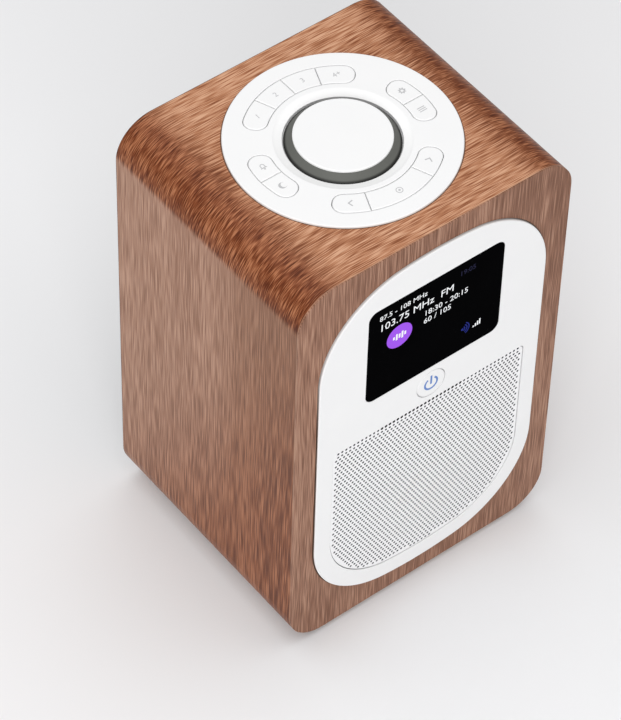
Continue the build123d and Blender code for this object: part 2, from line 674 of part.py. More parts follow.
def control_board_parts():
    """The round board under the panel's wall, and the ring that clamps both to the wood."""
    board = post(PANEL_PLUG_R - FIT_GAP, BOARD_TOP - BOARD_T, BOARD_TOP, y=PANEL_Y)
    ring = post(RETAINER_R, RETAINER_LOW, TOP - WALL, y=PANEL_Y)
    ring -= post(PANEL_PLUG_R, RETAINER_LOW + RETAINER_T, TOP - WALL, y=PANEL_Y)
    ring -= post(PANEL_PLUG_R - 2 * PANEL_WALL, RETAINER_LOW, TOP, y=PANEL_Y)
    ring -= block((-RETAINER_R, RETAINER_R), (FRONT, BAFFLE_BACK + FIT_GAP), (RETAINER_LOW, TOP))
    for x, y in PANEL_SCREWS:
        hole = post(SCREW_HOLE_R, RETAINER_LOW, BOARD_TOP, x, y)
        board -= hole
        ring -= hole
    return board, ring


AUX_X = -6.0
PHONES_X = 12.0
INLET_X = -34.0
HINGE_R = 1.2
PIN_R = 0.9
PIN_L = 2.0
DOOR_GAP = 0.3
HINGE_Y = COVER_FACE - DOOR_T / 2
HINGE_Z = FOOT_H + DOOR_Z + DOOR_GAP + HINGE_R
SPINDLE_R = 3.0
PAD_R = 6.5
SPINDLE_BOSS_D = 6.0


def rear_cover():
    """The dark back: an inset plate with the battery bay, socket holes, board posts and antenna boss."""
    inset = WALL + FIT_GAP
    outline = RectangleRounded(CABINET_W - 2 * inset, CABINET_H - 2 * inset, CABINET_R - inset)
    cover = slab(outline, COVER_BACK, COVER_FACE, z=MID_Z)
    half_w = DOOR_W / 2
    x_span = (DOOR_X - half_w, DOOR_X + half_w)
    z_span = (FOOT_H + DOOR_Z, FOOT_H + DOOR_Z + DOOR_H)
    bay_front = COVER_BACK - BAY_D
    grown_x = (x_span[0] - BAY_WALL, x_span[1] + BAY_WALL)
    grown_z = (z_span[0] - BAY_WALL, z_span[1] + BAY_WALL)
    cover += block(grown_x, (bay_front, COVER_BACK), grown_z)
    cover -= block(x_span, (bay_front + BAY_WALL, COVER_FACE), z_span)
    for x, radius in ((AUX_X, JACK_NOSE_R), (PHONES_X, JACK_NOSE_R), (INLET_X, INLET_NOSE_R)):
        cover -= rod(radius + DOOR_GAP / 2, COVER_BACK, COVER_FACE, x, FOOT_H + SOCKET_Z)
    for x in (MAIN_BOARD_X[0] + POST_INSET, MAIN_BOARD_X[1] - POST_INSET):
        for z in (MAIN_BOARD_Z[0] + LOW_POST_INSET, MAIN_BOARD_Z[1] - POST_INSET):
            cover += rod(BOSS_R, MAIN_BOARD_BACK, COVER_BACK, x, z)
    for x, z in COVER_SCREWS:
        cover -= rod(COVER_SCREW_R + FIT_GAP / 2, COVER_BACK, COVER_FACE, x, z)
    boss_z = FOOT_H + ANTENNA_Z
    cover += rod(PAD_R, COVER_BACK - SPINDLE_BOSS_D, COVER_BACK, ANTENNA_X, boss_z)
    cover -= rod(SPINDLE_R + SHAFT_CLEARANCE, COVER_BACK - SPINDLE_BOSS_D, COVER_FACE, ANTENNA_X, boss_z)
    pin_hole = Plane((x_span[0] - PIN_L, HINGE_Y, HINGE_Z), x_dir=(0, 1, 0), z_dir=(1, 0, 0))
    cover -= extrude(pin_hole * Circle(PIN_R + SHAFT_CLEARANCE), amount=DOOR_W + 2 * PIN_L)
    return cover


def cover_screws():
    """Six pan-head screws through the back into the glue blocks."""
    screws = []
    for x, z in COVER_SCREWS:
        shank = rod(COVER_SCREW_R, COVER_FACE - COVER_SCREW_L, COVER_FACE, x, z)
        head = rod(COVER_HEAD_R, COVER_FACE, COVER_FACE + COVER_HEAD_T, x, z)
        screws.append((shank + head).solid())
    return Compound(screws)


NOTCH_R = 7.0
NOTCH_SINK = 4.0


def battery_door():
    """The flap over the battery bay, round along its lower edge, with two hinge pins and a finger notch."""
    low_x = DOOR_X - DOOR_W / 2 + DOOR_GAP
    high_x = DOOR_X + DOOR_W / 2 - DOOR_GAP
    door_top = FOOT_H + DOOR_Z + DOOR_H
    flap = block((low_x, high_x), (COVER_FACE - DOOR_T, COVER_FACE), (HINGE_Z, door_top - DOOR_GAP))
    knuckle = Plane((low_x, HINGE_Y, HINGE_Z), x_dir=(0, 1, 0), z_dir=(1, 0, 0))
    flap += extrude(knuckle * Circle(HINGE_R), amount=high_x - low_x)
    reach = PIN_L - DOOR_GAP
    pins = Plane((low_x - reach, HINGE_Y, HINGE_Z), x_dir=(0, 1, 0), z_dir=(1, 0, 0))
    flap += extrude(pins * Circle(PIN_R), amount=high_x - low_x + 2 * reach)
    notch_z = door_top + NOTCH_SINK / 2
    return flap - rod(NOTCH_R, COVER_FACE - DOOR_T / 2, COVER_FACE, DOOR_X, notch_z)


PACK_W = 58.0
PACK_H = 50.0
PACK_D = 25.0
PACK_R = 4.0
PACK_BACK_GAP = 1.2


def battery_pack():
    """The rechargeable pack in its bay, standing against the bay's floor."""
    bottom = FOOT_H + DOOR_Z
    back = COVER_BACK - PACK_BACK_GAP
    outline = RectangleRounded(PACK_W, PACK_H, PACK_R)
    return slab(outline, back - PACK_D, back, DOOR_X, bottom + PACK_H / 2)


def main_board():
    """The main circuit board, parallel to the back."""
    return block(MAIN_BOARD_X, (MAIN_BOARD_BACK - BOARD_T, MAIN_BOARD_BACK), MAIN_BOARD_Z)


TUNER_W = 42.0
TUNER_H = 30.0
TUNER_D = 5.0


def tuner_module():
    """The screened radio receiver on the inner face of the main board."""
    face = MAIN_BOARD_BACK - BOARD_T
    x = sum(MAIN_BOARD_X) / 2
    z = MAIN_BOARD_Z[1] - TUNER_H
    return slab(RectangleRounded(TUNER_W, TUNER_H, SHEET), face - TUNER_D, face, x, z)


def socket(x, nose_r, bore_r, bore_d):
    """A socket on the main board: a square body, a round nose through the cover and a blind bore."""
    z = FOOT_H + SOCKET_Z
    body = slab(Rectangle(SOCKET_SIDE, SOCKET_SIDE), MAIN_BOARD_BACK, COVER_BACK, x, z)
    body += rod(nose_r, COVER_BACK, COVER_FACE, x, z)
    return body - rod(bore_r, COVER_FACE - bore_d, COVER_FACE, x, z)


INLET_BORE_D = 9.5
INLET_PIN_SHORT = 1.5


def dc_inlet():
    """The low-voltage inlet: a round bore with a centre pin."""
    z = FOOT_H + SOCKET_Z
    inlet = socket(INLET_X, INLET_NOSE_R, INLET_BORE_R, INLET_BORE_D)
    return inlet + rod(INLET_PIN_R, COVER_FACE - INLET_BORE_D, COVER_FACE - INLET_PIN_SHORT, INLET_X, z)


EAR_GAP = 4.4
EAR_T = 2.2
TONGUE_T = 4.0
TONGUE_R = 3.4
TILT_PIN_R = 1.2
NECK_DROP = 8.0
TIP_L = 4.0
TUBE_SHOW = 3.0


def across(x, z):
    """A plane square to the tilt pin, at a place along it."""
    return Plane((x, ANTENNA_Y, z), x_dir=(0, 1, 0), z_dir=(1, 0, 0))


def antenna_pivot_parts():
    """The swivel base with its two ears, the tilt pin, and the tongue that carries the tubes."""
    z = FOOT_H + ANTENNA_Z
    pad_front = COVER_FACE + FIT_GAP
    pad_back = BACK + FIT_GAP
    base = rod(PAD_R, pad_front, pad_back, ANTENNA_X, z)
    base += rod(SPINDLE_R, COVER_BACK - SPINDLE_BOSS_D, pad_front, ANTENNA_X, z)
    for side in (EAR_GAP / 2, -EAR_GAP / 2 - EAR_T):
        ear = extrude(across(ANTENNA_X + side, z) * Circle(EAR_R), amount=EAR_T)
        near_x = ANTENNA_X + side
        ear += block((near_x, near_x + EAR_T), (pad_back, ANTENNA_Y), (z - EAR_R, z + EAR_R))
        base += ear
    reach = EAR_GAP / 2 + EAR_T
    base -= extrude(across(ANTENNA_X - reach, z) * Circle(TILT_PIN_R), amount=2 * reach)
    pin = extrude(across(ANTENNA_X - reach, z) * Circle(TILT_PIN_R), amount=2 * reach)
    tongue = extrude(across(ANTENNA_X - TONGUE_T / 2, z) * Circle(TONGUE_R), amount=TONGUE_T)
    half = TONGUE_T / 2
    neck = Pos(ANTENNA_X, ANTENNA_Y, z - NECK_DROP / 2) * Box(TONGUE_T, TONGUE_T, NECK_DROP)
    tongue += neck
    tongue -= extrude(across(ANTENNA_X - half, z) * Circle(TILT_PIN_R + SHAFT_CLEARANCE), amount=TONGUE_T)
    return base, pin, tongue


def antenna_tubes():
    """Three nested tubes and the rod with its round tip, pushed together and hanging down."""
    top = FOOT_H + ANTENNA_Z - NECK_DROP
    stages = []
    for stage in range(ANTENNA_STAGES):
        outer_r = ANTENNA_R - stage * TUBE_STEP
        inner_r = outer_r - TUBE_STEP + TUBE_CLEARANCE
        low = top - TUBE_L - stage * TUBE_SHOW
        high = top - stage * TUBE_SHOW
        tube = post(outer_r, low, high, ANTENNA_X, ANTENNA_Y)
        if stage < ANTENNA_STAGES - 1:
            tube -= post(inner_r, low, high - TUBE_SHOW + FIT_GAP, ANTENNA_X, ANTENNA_Y)
        else:
            tube += post(ANTENNA_R, low - TIP_L, low, ANTENNA_X, ANTENNA_Y)
        stages.append(tube)
    return stages


LEAD_R = 1.1
LEAD_X = 18.0
LEAD_RISE = 27.0
LEAD_START = 5.0
LEAD_OUT = 9.0
LEAD_END = 10.0
BEND_SHARE = 0.45
# The lead's two middle bends: outwards from the magnet's side, back and up
LEAD_BENDS = ((13.0, 7.0, 8.0), (8.0, 15.0, 18.0))


def speaker_lead():
    """The loudspeaker's lead, from the basket's side to the main board."""
    z = FOOT_H + SPEAKER_Z
    start_y = FRONT + PLATE_Y + LEAD_START
    end_y = MAIN_BOARD_BACK - BOARD_T
    end_z = z + LEAD_RISE
    route = [(MAGNET_R + FIT_GAP, start_y, z), (MAGNET_R + LEAD_OUT, start_y, z)]
    route += [(MAGNET_R + out, start_y + back, z + up) for out, back, up in LEAD_BENDS]
    route += [(LEAD_X, end_y - LEAD_END, end_z), (LEAD_X, end_y, end_z)]
    points = [Vector(*point) for point in route]
    runs = [(b - a) for a, b in zip(points, points[1:])]
    radii = []
    for before, after in zip(runs, runs[1:]):
        shorter = min(before.length, after.length)
        radii.append(BEND_SHARE * shorter / math.tan(math.radians(before.get_angle(after)) / 2))
    path = FilletPolyline(*points, radius=radii)
    section = Plane(origin=path @ 0, z_dir=path % 0) * Circle(LEAD_R)
    return sweep(section, path=path)


RIBBON_W = 18.0
RIBBON_T = 0.5
RIBBON_SAG = 6.0
RIBBON_Z = FOOT_H + 113.0


def ribbon_cable():
    """The flat cable that sags between the display board and the main board."""
    y_near = DISPLAY_BOARD_FRONT + BOARD_T
    y_far = MAIN_BOARD_BACK - BOARD_T
    z = RIBBON_Z
    middle = (y_near + y_far) / 2
    upper = ThreePointArc((y_near, z), (middle, z - RIBBON_SAG), (y_far, z))
    lower = Pos(0, -RIBBON_T) * upper
    strip = make_face([upper, lower, Line(upper @ 0, lower @ 0), Line(upper @ 1, lower @ 1)])
    sideways = Plane((-RIBBON_W, 0, 0), x_dir=(0, 1, 0), z_dir=(1, 0, 0))
    return extrude(sideways * strip, amount=RIBBON_W)


def all_nodes():
    """Every piece of the radio by its name."""
    nodes = {
        "cabinet_shell": cabinet_shell(),
        "front_veneer": front_veneer(),
        "front_baffle": front_baffle(),
        "feet": feet(),
        "front_bezel": front_bezel(),
        "display_lens": display_lens(),
        "mounting_screws": mounting_screws(),
        "speaker_frame": speaker_frame(),
        "speaker_gasket": speaker_gasket(),
        "control_panel": control_panel(),
        "key_switches": key_switches(),
        "rear_cover": rear_cover(),
        "rear_cover_screws": cover_screws(),
        "battery_door": battery_door(),
        "battery_pack": battery_pack(),
        "main_board": main_board(),
        "tuner_module": tuner_module(),
        "aux_socket": socket(AUX_X, JACK_NOSE_R, JACK_BORE_R, JACK_BORE_D),
        "headphone_socket": socket(PHONES_X, JACK_NOSE_R, JACK_BORE_R, JACK_BORE_D),
        "dc_inlet": dc_inlet(),
        "speaker_lead": speaker_lead(),
        "ribbon_cable": ribbon_cable(),
    }
    nodes["display_module"], nodes["display_board"] = display_parts()
    nodes["power_button"], nodes["power_switch"] = power_parts()
    nodes["grille"], nodes["grille_cloth"] = grille_parts()
    nodes["speaker_top_plate"], nodes["speaker_magnet"], nodes["speaker_yoke"] = speaker_motor()
    moving = ("speaker_cone", "voice_coil", "speaker_surround", "speaker_spider")
    nodes.update(zip(moving, speaker_moving_parts()))
    nodes.update(keys())
    nodes["encoder_body"], nodes["encoder_plunger"], nodes["encoder_shaft"] = encoder_parts()
    nodes["knob_body"], nodes["knob_cap"] = knob_parts()
    nodes["control_board"], nodes["panel_retainer"] = control_board_parts()
    nodes["antenna_base"], nodes["antenna_pin"], nodes["antenna_knuckle"] = antenna_pivot_parts()
    tubes = ("antenna_tube_1", "antenna_tube_2", "antenna_tube_3", "antenna_rod")
    nodes.update(zip(tubes, antenna_tubes()))
    return nodes


os.makedirs("parts", exist_ok=True)
for name, shape in all_nodes().items():
    export_step(shape, f"parts/{name}.step")
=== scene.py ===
import math

import bpy
import numpy as np
from mathutils import Matrix, Vector
from mathutils.geometry import delaunay_2d_cdt


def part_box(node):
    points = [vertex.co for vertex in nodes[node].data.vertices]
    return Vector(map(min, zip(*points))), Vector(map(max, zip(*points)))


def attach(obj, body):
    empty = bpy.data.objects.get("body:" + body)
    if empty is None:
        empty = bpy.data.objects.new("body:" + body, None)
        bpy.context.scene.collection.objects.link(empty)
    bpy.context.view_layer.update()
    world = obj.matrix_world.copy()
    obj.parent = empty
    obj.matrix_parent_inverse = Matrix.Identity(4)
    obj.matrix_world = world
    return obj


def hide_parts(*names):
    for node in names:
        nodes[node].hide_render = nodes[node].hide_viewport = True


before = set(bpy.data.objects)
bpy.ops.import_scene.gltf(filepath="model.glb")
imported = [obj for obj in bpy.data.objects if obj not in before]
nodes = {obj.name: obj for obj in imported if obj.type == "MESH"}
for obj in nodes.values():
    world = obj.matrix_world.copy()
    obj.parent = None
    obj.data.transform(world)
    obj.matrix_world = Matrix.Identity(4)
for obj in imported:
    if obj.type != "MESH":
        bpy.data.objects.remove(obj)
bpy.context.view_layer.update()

scene = bpy.context.scene
scene.view_settings.view_transform = "Standard"

# The camera stands to the front left of the radio and well above it, with a long lens,
# as for a catalogue picture that shows the front, the left side and the top.
MM = 0.001
VIEW_AZIMUTH = math.radians(-39.2758)
VIEW_ELEVATION = math.radians(48.988)
VIEW_ROLL = math.radians(1.8023)
VIEW_DISTANCE = 1463.9 * MM
VIEW_TARGET = Vector((-3.83, 6.99, 69.94)) * MM
VIEW_LENS_MM = 190.01

away = Vector((
    math.sin(VIEW_AZIMUTH) * math.cos(VIEW_ELEVATION),
    -math.cos(VIEW_AZIMUTH) * math.cos(VIEW_ELEVATION),
    math.sin(VIEW_ELEVATION),
))
level = Vector((0, 0, 1)).cross(away).normalized()
upward = away.cross(level)
right = level * math.cos(VIEW_ROLL) + upward * math.sin(VIEW_ROLL)
top = upward * math.cos(VIEW_ROLL) - level * math.sin(VIEW_ROLL)
camera_data = bpy.data.cameras.new("camera")
camera_data.lens = VIEW_LENS_MM
camera_data.sensor_width = 36.0
camera_data.clip_start = 0.05
camera = bpy.data.objects.new("camera", camera_data)
facing = Matrix((right, top, away)).transposed().to_4x4()
camera.matrix_world = Matrix.Translation(VIEW_TARGET + away * VIEW_DISTANCE) @ facing
scene.collection.objects.link(camera)
scene.camera = camera


# The studio: a plain pale table top, much wider than the picture, a large soft box overhead,
# a second one from the front left, and a weak even light from all round.
MIX_FIRST, MIX_SECOND, MIX_RESULT = 6, 7, 2


class Shade:
    """One value or colour in a material. Arithmetic on it adds Math nodes to the material."""

    def __init__(self, finish, socket):
        self.finish = finish
        self.socket = socket

    def math(self, operation, *others):
        values = dict(enumerate((self, *others)))
        return self.finish.node("ShaderNodeMath", {"operation": operation}, values)

    def __add__(self, other):
        return self.math("ADD", other)

    def __radd__(self, other):
        return self.math("ADD", other)

    def __sub__(self, other):
        return self.math("SUBTRACT", other)

    def __rsub__(self, other):
        return (self * -1.0) + other

    def __mul__(self, other):
        return self.math("MULTIPLY", other)

    def __rmul__(self, other):
        return self.math("MULTIPLY", other)

    def __truediv__(self, other):
        return self.math("DIVIDE", other)

    def clamped(self, low, high):
        return self.math("MAXIMUM", low).math("MINIMUM", high)

    def smooth(self, low, high):
        """0 below low, 1 above high, with a smooth step between them."""
        sockets = {"Value": self, "From Min": low, "From Max": high}
        return self.finish.node("ShaderNodeMapRange", {"interpolation_type": "SMOOTHSTEP"}, sockets)


class Finish:
    """A material in the making: its node tree, its Principled shader and short ways to add nodes."""

    def __init__(self, name, **sockets):
        self.material = bpy.data.materials.new(name)
        self.material.use_nodes = True
        self.tree = self.material.node_tree
        self.shader = self.tree.nodes["Principled BSDF"]
        self.put(self.shader, sockets)

    def put(self, node, sockets):
        for key, value in sockets.items():
            socket = node.inputs[key if isinstance(key, int) else key.replace("_", " ")]
            if isinstance(value, Shade):
                self.tree.links.new(value.socket, socket)
            else:
                socket.default_value = value

    def node(self, kind, settings, sockets, out=0):
        made = self.tree.nodes.new(kind)
        for key, value in settings.items():
            setattr(made, key, value)
        self.put(made, sockets)
        return Shade(self, made.outputs[out])

    def set(self, **sockets):
        self.put(self.shader, sockets)
        return self

    def place(self):
        """The point's x, y and z in the radio's frame, in millimetres."""
        point = self.node("ShaderNodeTexCoord", {}, {}, "Object")
        return [self.node("ShaderNodeSeparateXYZ", {}, {"Vector": point}, axis) * 1000.0 for axis in "XYZ"]

    def noise(self, x, y, z, detail=2.0, roughness=0.5):
        """Smooth noise with features about one unit wide in the given coordinates."""
        where = self.node("ShaderNodeCombineXYZ", {}, {"X": x, "Y": y, "Z": z})
        sockets = {"Vector": where, "Scale": 1.0, "Detail": detail, "Roughness": roughness}
        return self.node("ShaderNodeTexNoise", {"noise_dimensions": "3D"}, sockets)

    def mix(self, factor, first, second):
        """The first colour where factor is 0 and the second where it is 1.

        The Mix node repeats its socket names for each data type, so its colours go by number.
        """
        colours = [colour if isinstance(colour, Shade) else (*colour, 1.0) for colour in (first, second)]
        sockets = {"Factor": factor, MIX_FIRST: colours[0], MIX_SECOND: colours[1]}
        return self.node("ShaderNodeMix", {"data_type": "RGBA"}, sockets, MIX_RESULT)

    def bump(self, height, distance_mm, strength=1.0):
        """A normal tilted by a height from 0 to 1 that stands for distance_mm."""
        sockets = {"Height": height, "Distance": distance_mm * MM, "Strength": strength}
        return self.node("ShaderNodeBump", {}, sockets)


def wear(names, finish):
    """Puts a finish on the named pieces of the frame."""
    for name in names:
        mesh = nodes[name].data
        mesh.materials.clear()
        mesh.materials.append(finish.material)


def new_piece(name, mesh, finish, body):
    """Adds a mesh as a piece that rides on a body, with its finish."""
    piece = bpy.data.objects.new(name, mesh)
    scene.collection.objects.link(piece)
    mesh.materials.append(finish.material)
    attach(piece, body)
    return piece


FLOOR_HALF = 3.0
floor_mesh = bpy.data.meshes.new("floor")
floor_corners = np.array([(-1, -1, 0), (1, -1, 0), (1, 1, 0), (-1, 1, 0)]) * FLOOR_HALF
floor_mesh.from_pydata(floor_corners.tolist(), [], [(0, 1, 2, 3)])
floor = bpy.data.objects.new("floor", floor_mesh)
scene.collection.objects.link(floor)
floor_finish = Finish("pale_table", Roughness=0.7)
x, y, z = floor_finish.place()
floor_tone = floor_finish.noise(x * 0.004, y * 0.004, 0.0)
floor_finish.set(Base_Color=floor_finish.mix(floor_tone, (0.80, 0.80, 0.81), (0.84, 0.84, 0.85)))
floor_mesh.materials.append(floor_finish.material)

WORLD_LIGHT = 0.36
world = bpy.data.worlds.new("studio")
world.use_nodes = True
scene.world = world
sky = world.node_tree.nodes["Background"]
sky.inputs["Color"].default_value = (1.0, 1.0, 1.0, 1.0)
sky.inputs["Strength"].default_value = WORLD_LIGHT


def soft_box(name, place, aim, size, power):
    """A square soft light at a place, turned towards a point."""
    data = bpy.data.lights.new(name, "AREA")
    data.shape = "SQUARE"
    data.size = size
    data.energy = power
    lamp = bpy.data.objects.new(name, data)
    turned = (Vector(place) - Vector(aim)).to_track_quat("Z", "Y").to_matrix().to_4x4()
    lamp.matrix_world = Matrix.Translation(place) @ turned
    scene.collection.objects.link(lamp)


LAMP_AIM = (0, 0, 0.1)
soft_box("overhead", (-0.1, 0.0, 1.65), LAMP_AIM, 2.4, 25.5)
soft_box("front_left", (-1.3, -1.6, 0.9), LAMP_AIM, 1.2, 25.0)


# The cabinet is a veneered tube: one sheet of walnut runs up the left side, over the rounded
# corner, across the top and down the right side, so its grain follows the tube's outline.
# A separate sheet with upright grain covers the front and is trimmed flush at the edges.
shell_low, shell_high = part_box("cabinet_shell")
CORNER_R = 16.0
shell_half_w = shell_high.x / MM
shell_top = shell_high.z / MM
shell_bottom = shell_low.z / MM
shell_front = shell_low.y / MM
shell_back = shell_high.y / MM
VENEER_LINE_AND_HIGHLIGHT = 0.35


def grain_tone(finish, along, across, seed):
    """Walnut figure from two coordinates in millimetres along and across the grain.

    Bands, clouds, streaks, fibres and threads are noises stretched along the grain, from wide to fine, on
    lines that wander a little. Their weighted sum is about 0 in the middle. Pores are short dark dashes.
    """
    drift = finish.noise(along * 0.012, across * 0.03, seed) - 0.5
    bent = across + drift * 6.0
    bands = finish.noise(bent * 0.055, along * 0.005, seed + 3.0, 2.0) - 0.5
    clouds = finish.noise(bent * 0.075, along * 0.05, seed + 17.0, 2.0) - 0.5
    streaks = finish.noise(bent * 0.33, along * 0.006, seed + 7.0, 2.0, 0.6) - 0.5
    fibres = finish.noise(bent * 1.5, along * 0.06, seed + 11.0, 1.0) - 0.5
    threads = finish.noise(bent * 2.6, along * 0.10, seed + 13.0, 1.0) - 0.5
    pores = finish.noise(bent * 1.9, along * 0.12, seed + 23.0, 1.0).smooth(0.60, 0.72)
    tone = bands * 1.2 + clouds * 0.5 + streaks * 1.9 + fibres * 1.2 + threads * 7.6
    height = fibres * 0.5 + threads * 0.5 - pores * 0.6 + 0.5
    return tone, pores, height


def stained(finish, tone, pores, palette):
    """Dark, middle and pale wood picked by the tone from 0 to 1, with dark pores."""
    dark, middle, pale = palette
    lower = finish.mix((tone * 2.0).clamped(0.0, 1.0), dark, middle)
    colour = finish.mix((tone * 2.0 - 1.0).clamped(0.0, 1.0), lower, pale)
    return finish.mix(pores * 0.40, colour, dark)


panel_low, panel_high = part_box("control_panel")
panel_y = (panel_low.y + panel_high.y) / 2 / MM
PANEL_R = panel_high.x / MM
PANEL_SHADOW_W = 0.5
wrap = Finish("wrapped_walnut", Specular_IOR_Level=0.15, Coat_Roughness=0.25, Coat_Weight=0.02)
x, y, z = wrap.place()
overhang = x.math("ABSOLUTE") - (shell_half_w - CORNER_R)
rise = z - (shell_top - CORNER_R)
turn = overhang.math("MAXIMUM", 0.0).math("ARCTAN2", rise.math("MAXIMUM", 0.001))
on_side = turn / (math.pi / 2)
flat_run = x.math("ABSOLUTE").math("MINIMUM", shell_half_w - CORNER_R)
drop = (rise * -1.0).math("MAXIMUM", 0.0)
along_wrap = (flat_run + turn * (CORNER_R * 1.7) + drop * 0.6) * x.math("SIGN")
# The wood's tone by place is painted light: the bend is darker as painted shade, the side paler and greyer as
# a painted sheen of the table, fading towards the front edge, and darker low at the front as painted shade.
TOP_PALETTE = ((0.21, 0.064, 0.024), (0.41, 0.175, 0.086), (0.61, 0.34, 0.21))
BEND_SHADE_PALETTE = ((0.085, 0.018, 0.005), (0.19, 0.052, 0.018), (0.40, 0.16, 0.075))
SIDE_SHEEN_PALETTE = ((0.243, 0.115, 0.067), (0.351, 0.184, 0.118), (0.47, 0.276, 0.192))
SIDE_LESS_SHEEN_PALETTE = ((0.176, 0.074, 0.037), (0.258, 0.120, 0.067), (0.355, 0.185, 0.115))
LOW_SIDE_SHADE_PALETTE = ((0.105, 0.026, 0.008), (0.218, 0.069, 0.026), (0.38, 0.155, 0.078))
into_bend = overhang.smooth(-8.0, 6.0)
out_of_bend = on_side.smooth(0.87, 1.0)
forward = (shell_back - y) / (shell_back - shell_front)
downward = (shell_top - z) / (shell_top - shell_bottom)
sheen_fade = forward.smooth(0.53, 0.73)
low_front_shade = (forward + downward * 1.4).smooth(0.90, 1.98)
palettes = zip(TOP_PALETTE, BEND_SHADE_PALETTE, SIDE_SHEEN_PALETTE, SIDE_LESS_SHEEN_PALETTE, LOW_SIDE_SHADE_PALETTE)
palette = []
for on_top, bend_shade, side_sheen, side_less_sheen, low_side_shade in palettes:
    side_sheen_and_shade = wrap.mix(low_front_shade, wrap.mix(sheen_fade, side_sheen, side_less_sheen), low_side_shade)
    palette.append(wrap.mix(out_of_bend, wrap.mix(into_bend, on_top, bend_shade), side_sheen_and_shade))
figure, pores, height = grain_tone(wrap, along_wrap, y, 1.0)
near_front = (1.0 - y).smooth(30.0, 58.0)
near_back = y.smooth(22.0, 46.0)
on_flat = 1.0 - on_side.smooth(0.0, 0.3)
contrast = 0.41 + on_side.smooth(0.6, 1.0) * 0.11
tone = figure * contrast + 0.5 + near_front * (on_flat * 0.16 - 0.09) + near_back * on_flat * 0.14
wood = stained(wrap, tone, pores, palette)
# A thin dark ring on the wood round the top disc is painted shade of the gap at the disc's edge.
from_panel = (x * x + (y - panel_y) * (y - panel_y)).math("SQRT") - PANEL_R
panel_shadow_line = (1.0 - from_panel.smooth(PANEL_SHADOW_W * 0.6, PANEL_SHADOW_W)) * rise.smooth(0.0, 1.0)
wood = wrap.mix(panel_shadow_line * 0.8, wood, (0.06, 0.03, 0.018))
# A thin pale line along the front edge is partly the veneer's pale cut edge and partly a painted highlight on
# the rounded edge.
edge = 1.0 - (y - shell_front).smooth(VENEER_LINE_AND_HIGHLIGHT * 0.5, VENEER_LINE_AND_HIGHLIGHT)
wood = wrap.mix(edge * 0.4, wood, (0.55, 0.36, 0.24))
rim = (y - shell_back).smooth(-0.35, -0.05)
wood = wrap.mix(rim * 0.85, wood, (0.05, 0.03, 0.02))
wrap.set(Base_Color=wood, Roughness=0.34 + height * 0.14, Normal=wrap.bump(height, 0.05, 0.5))
wear(["cabinet_shell"], wrap)

face_wood = Finish("front_walnut", Specular_IOR_Level=0.15, Coat_Roughness=0.25, Coat_Weight=0.02)
x, y, z = face_wood.place()
FACE_PALETTE = ((0.163, 0.070, 0.039), (0.270, 0.132, 0.083), (0.395, 0.22, 0.147))
figure, pores, height = grain_tone(face_wood, z * 0.6, x, 41.0)
low_down = 1.0 - (z - shell_bottom).smooth(5.0, 60.0)
high_right = (x + (z - 100.0) * 0.35).smooth(50.0, 72.0)
colour = stained(face_wood, figure * 0.42 + 0.5 - low_down * 0.10 - high_right * 0.28, pores, FACE_PALETTE)
face_wood.set(Base_Color=colour, Roughness=0.34 + height * 0.14, Normal=face_wood.bump(height, 0.05, 0.5))
wear(["front_veneer"], face_wood)


# Inside the front sits the baffle, a raw fibreboard panel that carries the bezel and the loudspeaker.
# Its faces show pressed fibres in two browns.
fibreboard = Finish("raw_fibreboard", Roughness=0.85)
x, y, z = fibreboard.place()
chips = fibreboard.noise(x * 0.8, y * 0.8, z * 0.8, 4.0, 0.65)
fibre_brown = fibreboard.mix(chips, (0.34, 0.24, 0.15), (0.5, 0.38, 0.25))
fibreboard.set(Base_Color=fibre_brown, Normal=fibreboard.bump(chips, 0.1, 0.5))
wear(["front_baffle"], fibreboard)


# Four round rubber feet keep the cabinet off the table.
# They are black, with a fine moulded grain, and are glued under its corners.
foot_rubber = Finish("foot_rubber", Roughness=0.8)
x, y, z = foot_rubber.place()
grain = foot_rubber.noise(x * 2.5, y * 2.5, z * 2.5, 3.0)
rubber_black = foot_rubber.mix(grain, (0.012, 0.012, 0.012), (0.03, 0.03, 0.031))
foot_rubber.set(Base_Color=rubber_black, Normal=foot_rubber.bump(grain, 0.08, 0.6))
wear(["feet"], foot_rubber)


# The white front plate, the disc on the top, the keys, the power button and the knob's cap are
# moulded in one white plastic with a silky surface: a very fine grain and hardly any gloss.
def moulded(name, pale, deep, rough, grain_mm=0.25, relief_mm=0.004, gloss=0.45):
    """Moulded plastic: two close tones in soft clouds, a fine grain in the relief and in the gloss."""
    finish = Finish(name, Specular_IOR_Level=gloss)
    x, y, z = finish.place()
    cloud = finish.noise(x * 0.05, y * 0.05, z * 0.05, 2.0)
    fine = finish.noise(x / grain_mm, y / grain_mm, z / grain_mm, 1.0)
    finish.tint = finish.mix(cloud, pale, deep)
    finish.set(
        Base_Color=finish.tint,
        Roughness=rough + (fine - 0.5) * 0.12,
        Normal=finish.bump(fine, relief_mm, 0.4),
    )
    return finish


KEY_NAMES = [name for name in nodes if name.startswith("key_") and name != "key_switches"]
white_plastic = moulded("white_plastic", (0.83, 0.83, 0.83), (0.80, 0.80, 0.805), 0.42)
wear(["power_button", "knob_cap", *KEY_NAMES], white_plastic)

bezel_low, bezel_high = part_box("front_bezel")
bezel_mid = (bezel_low.z + bezel_high.z) / 2 / MM
BEZEL_R = 40.5
BEZEL_JOIN_Z = 46.6
bezel_white = moulded("bezel_white", (0.83, 0.83, 0.83), (0.80, 0.80, 0.805), 0.42)
x, y, z = bezel_white.place()
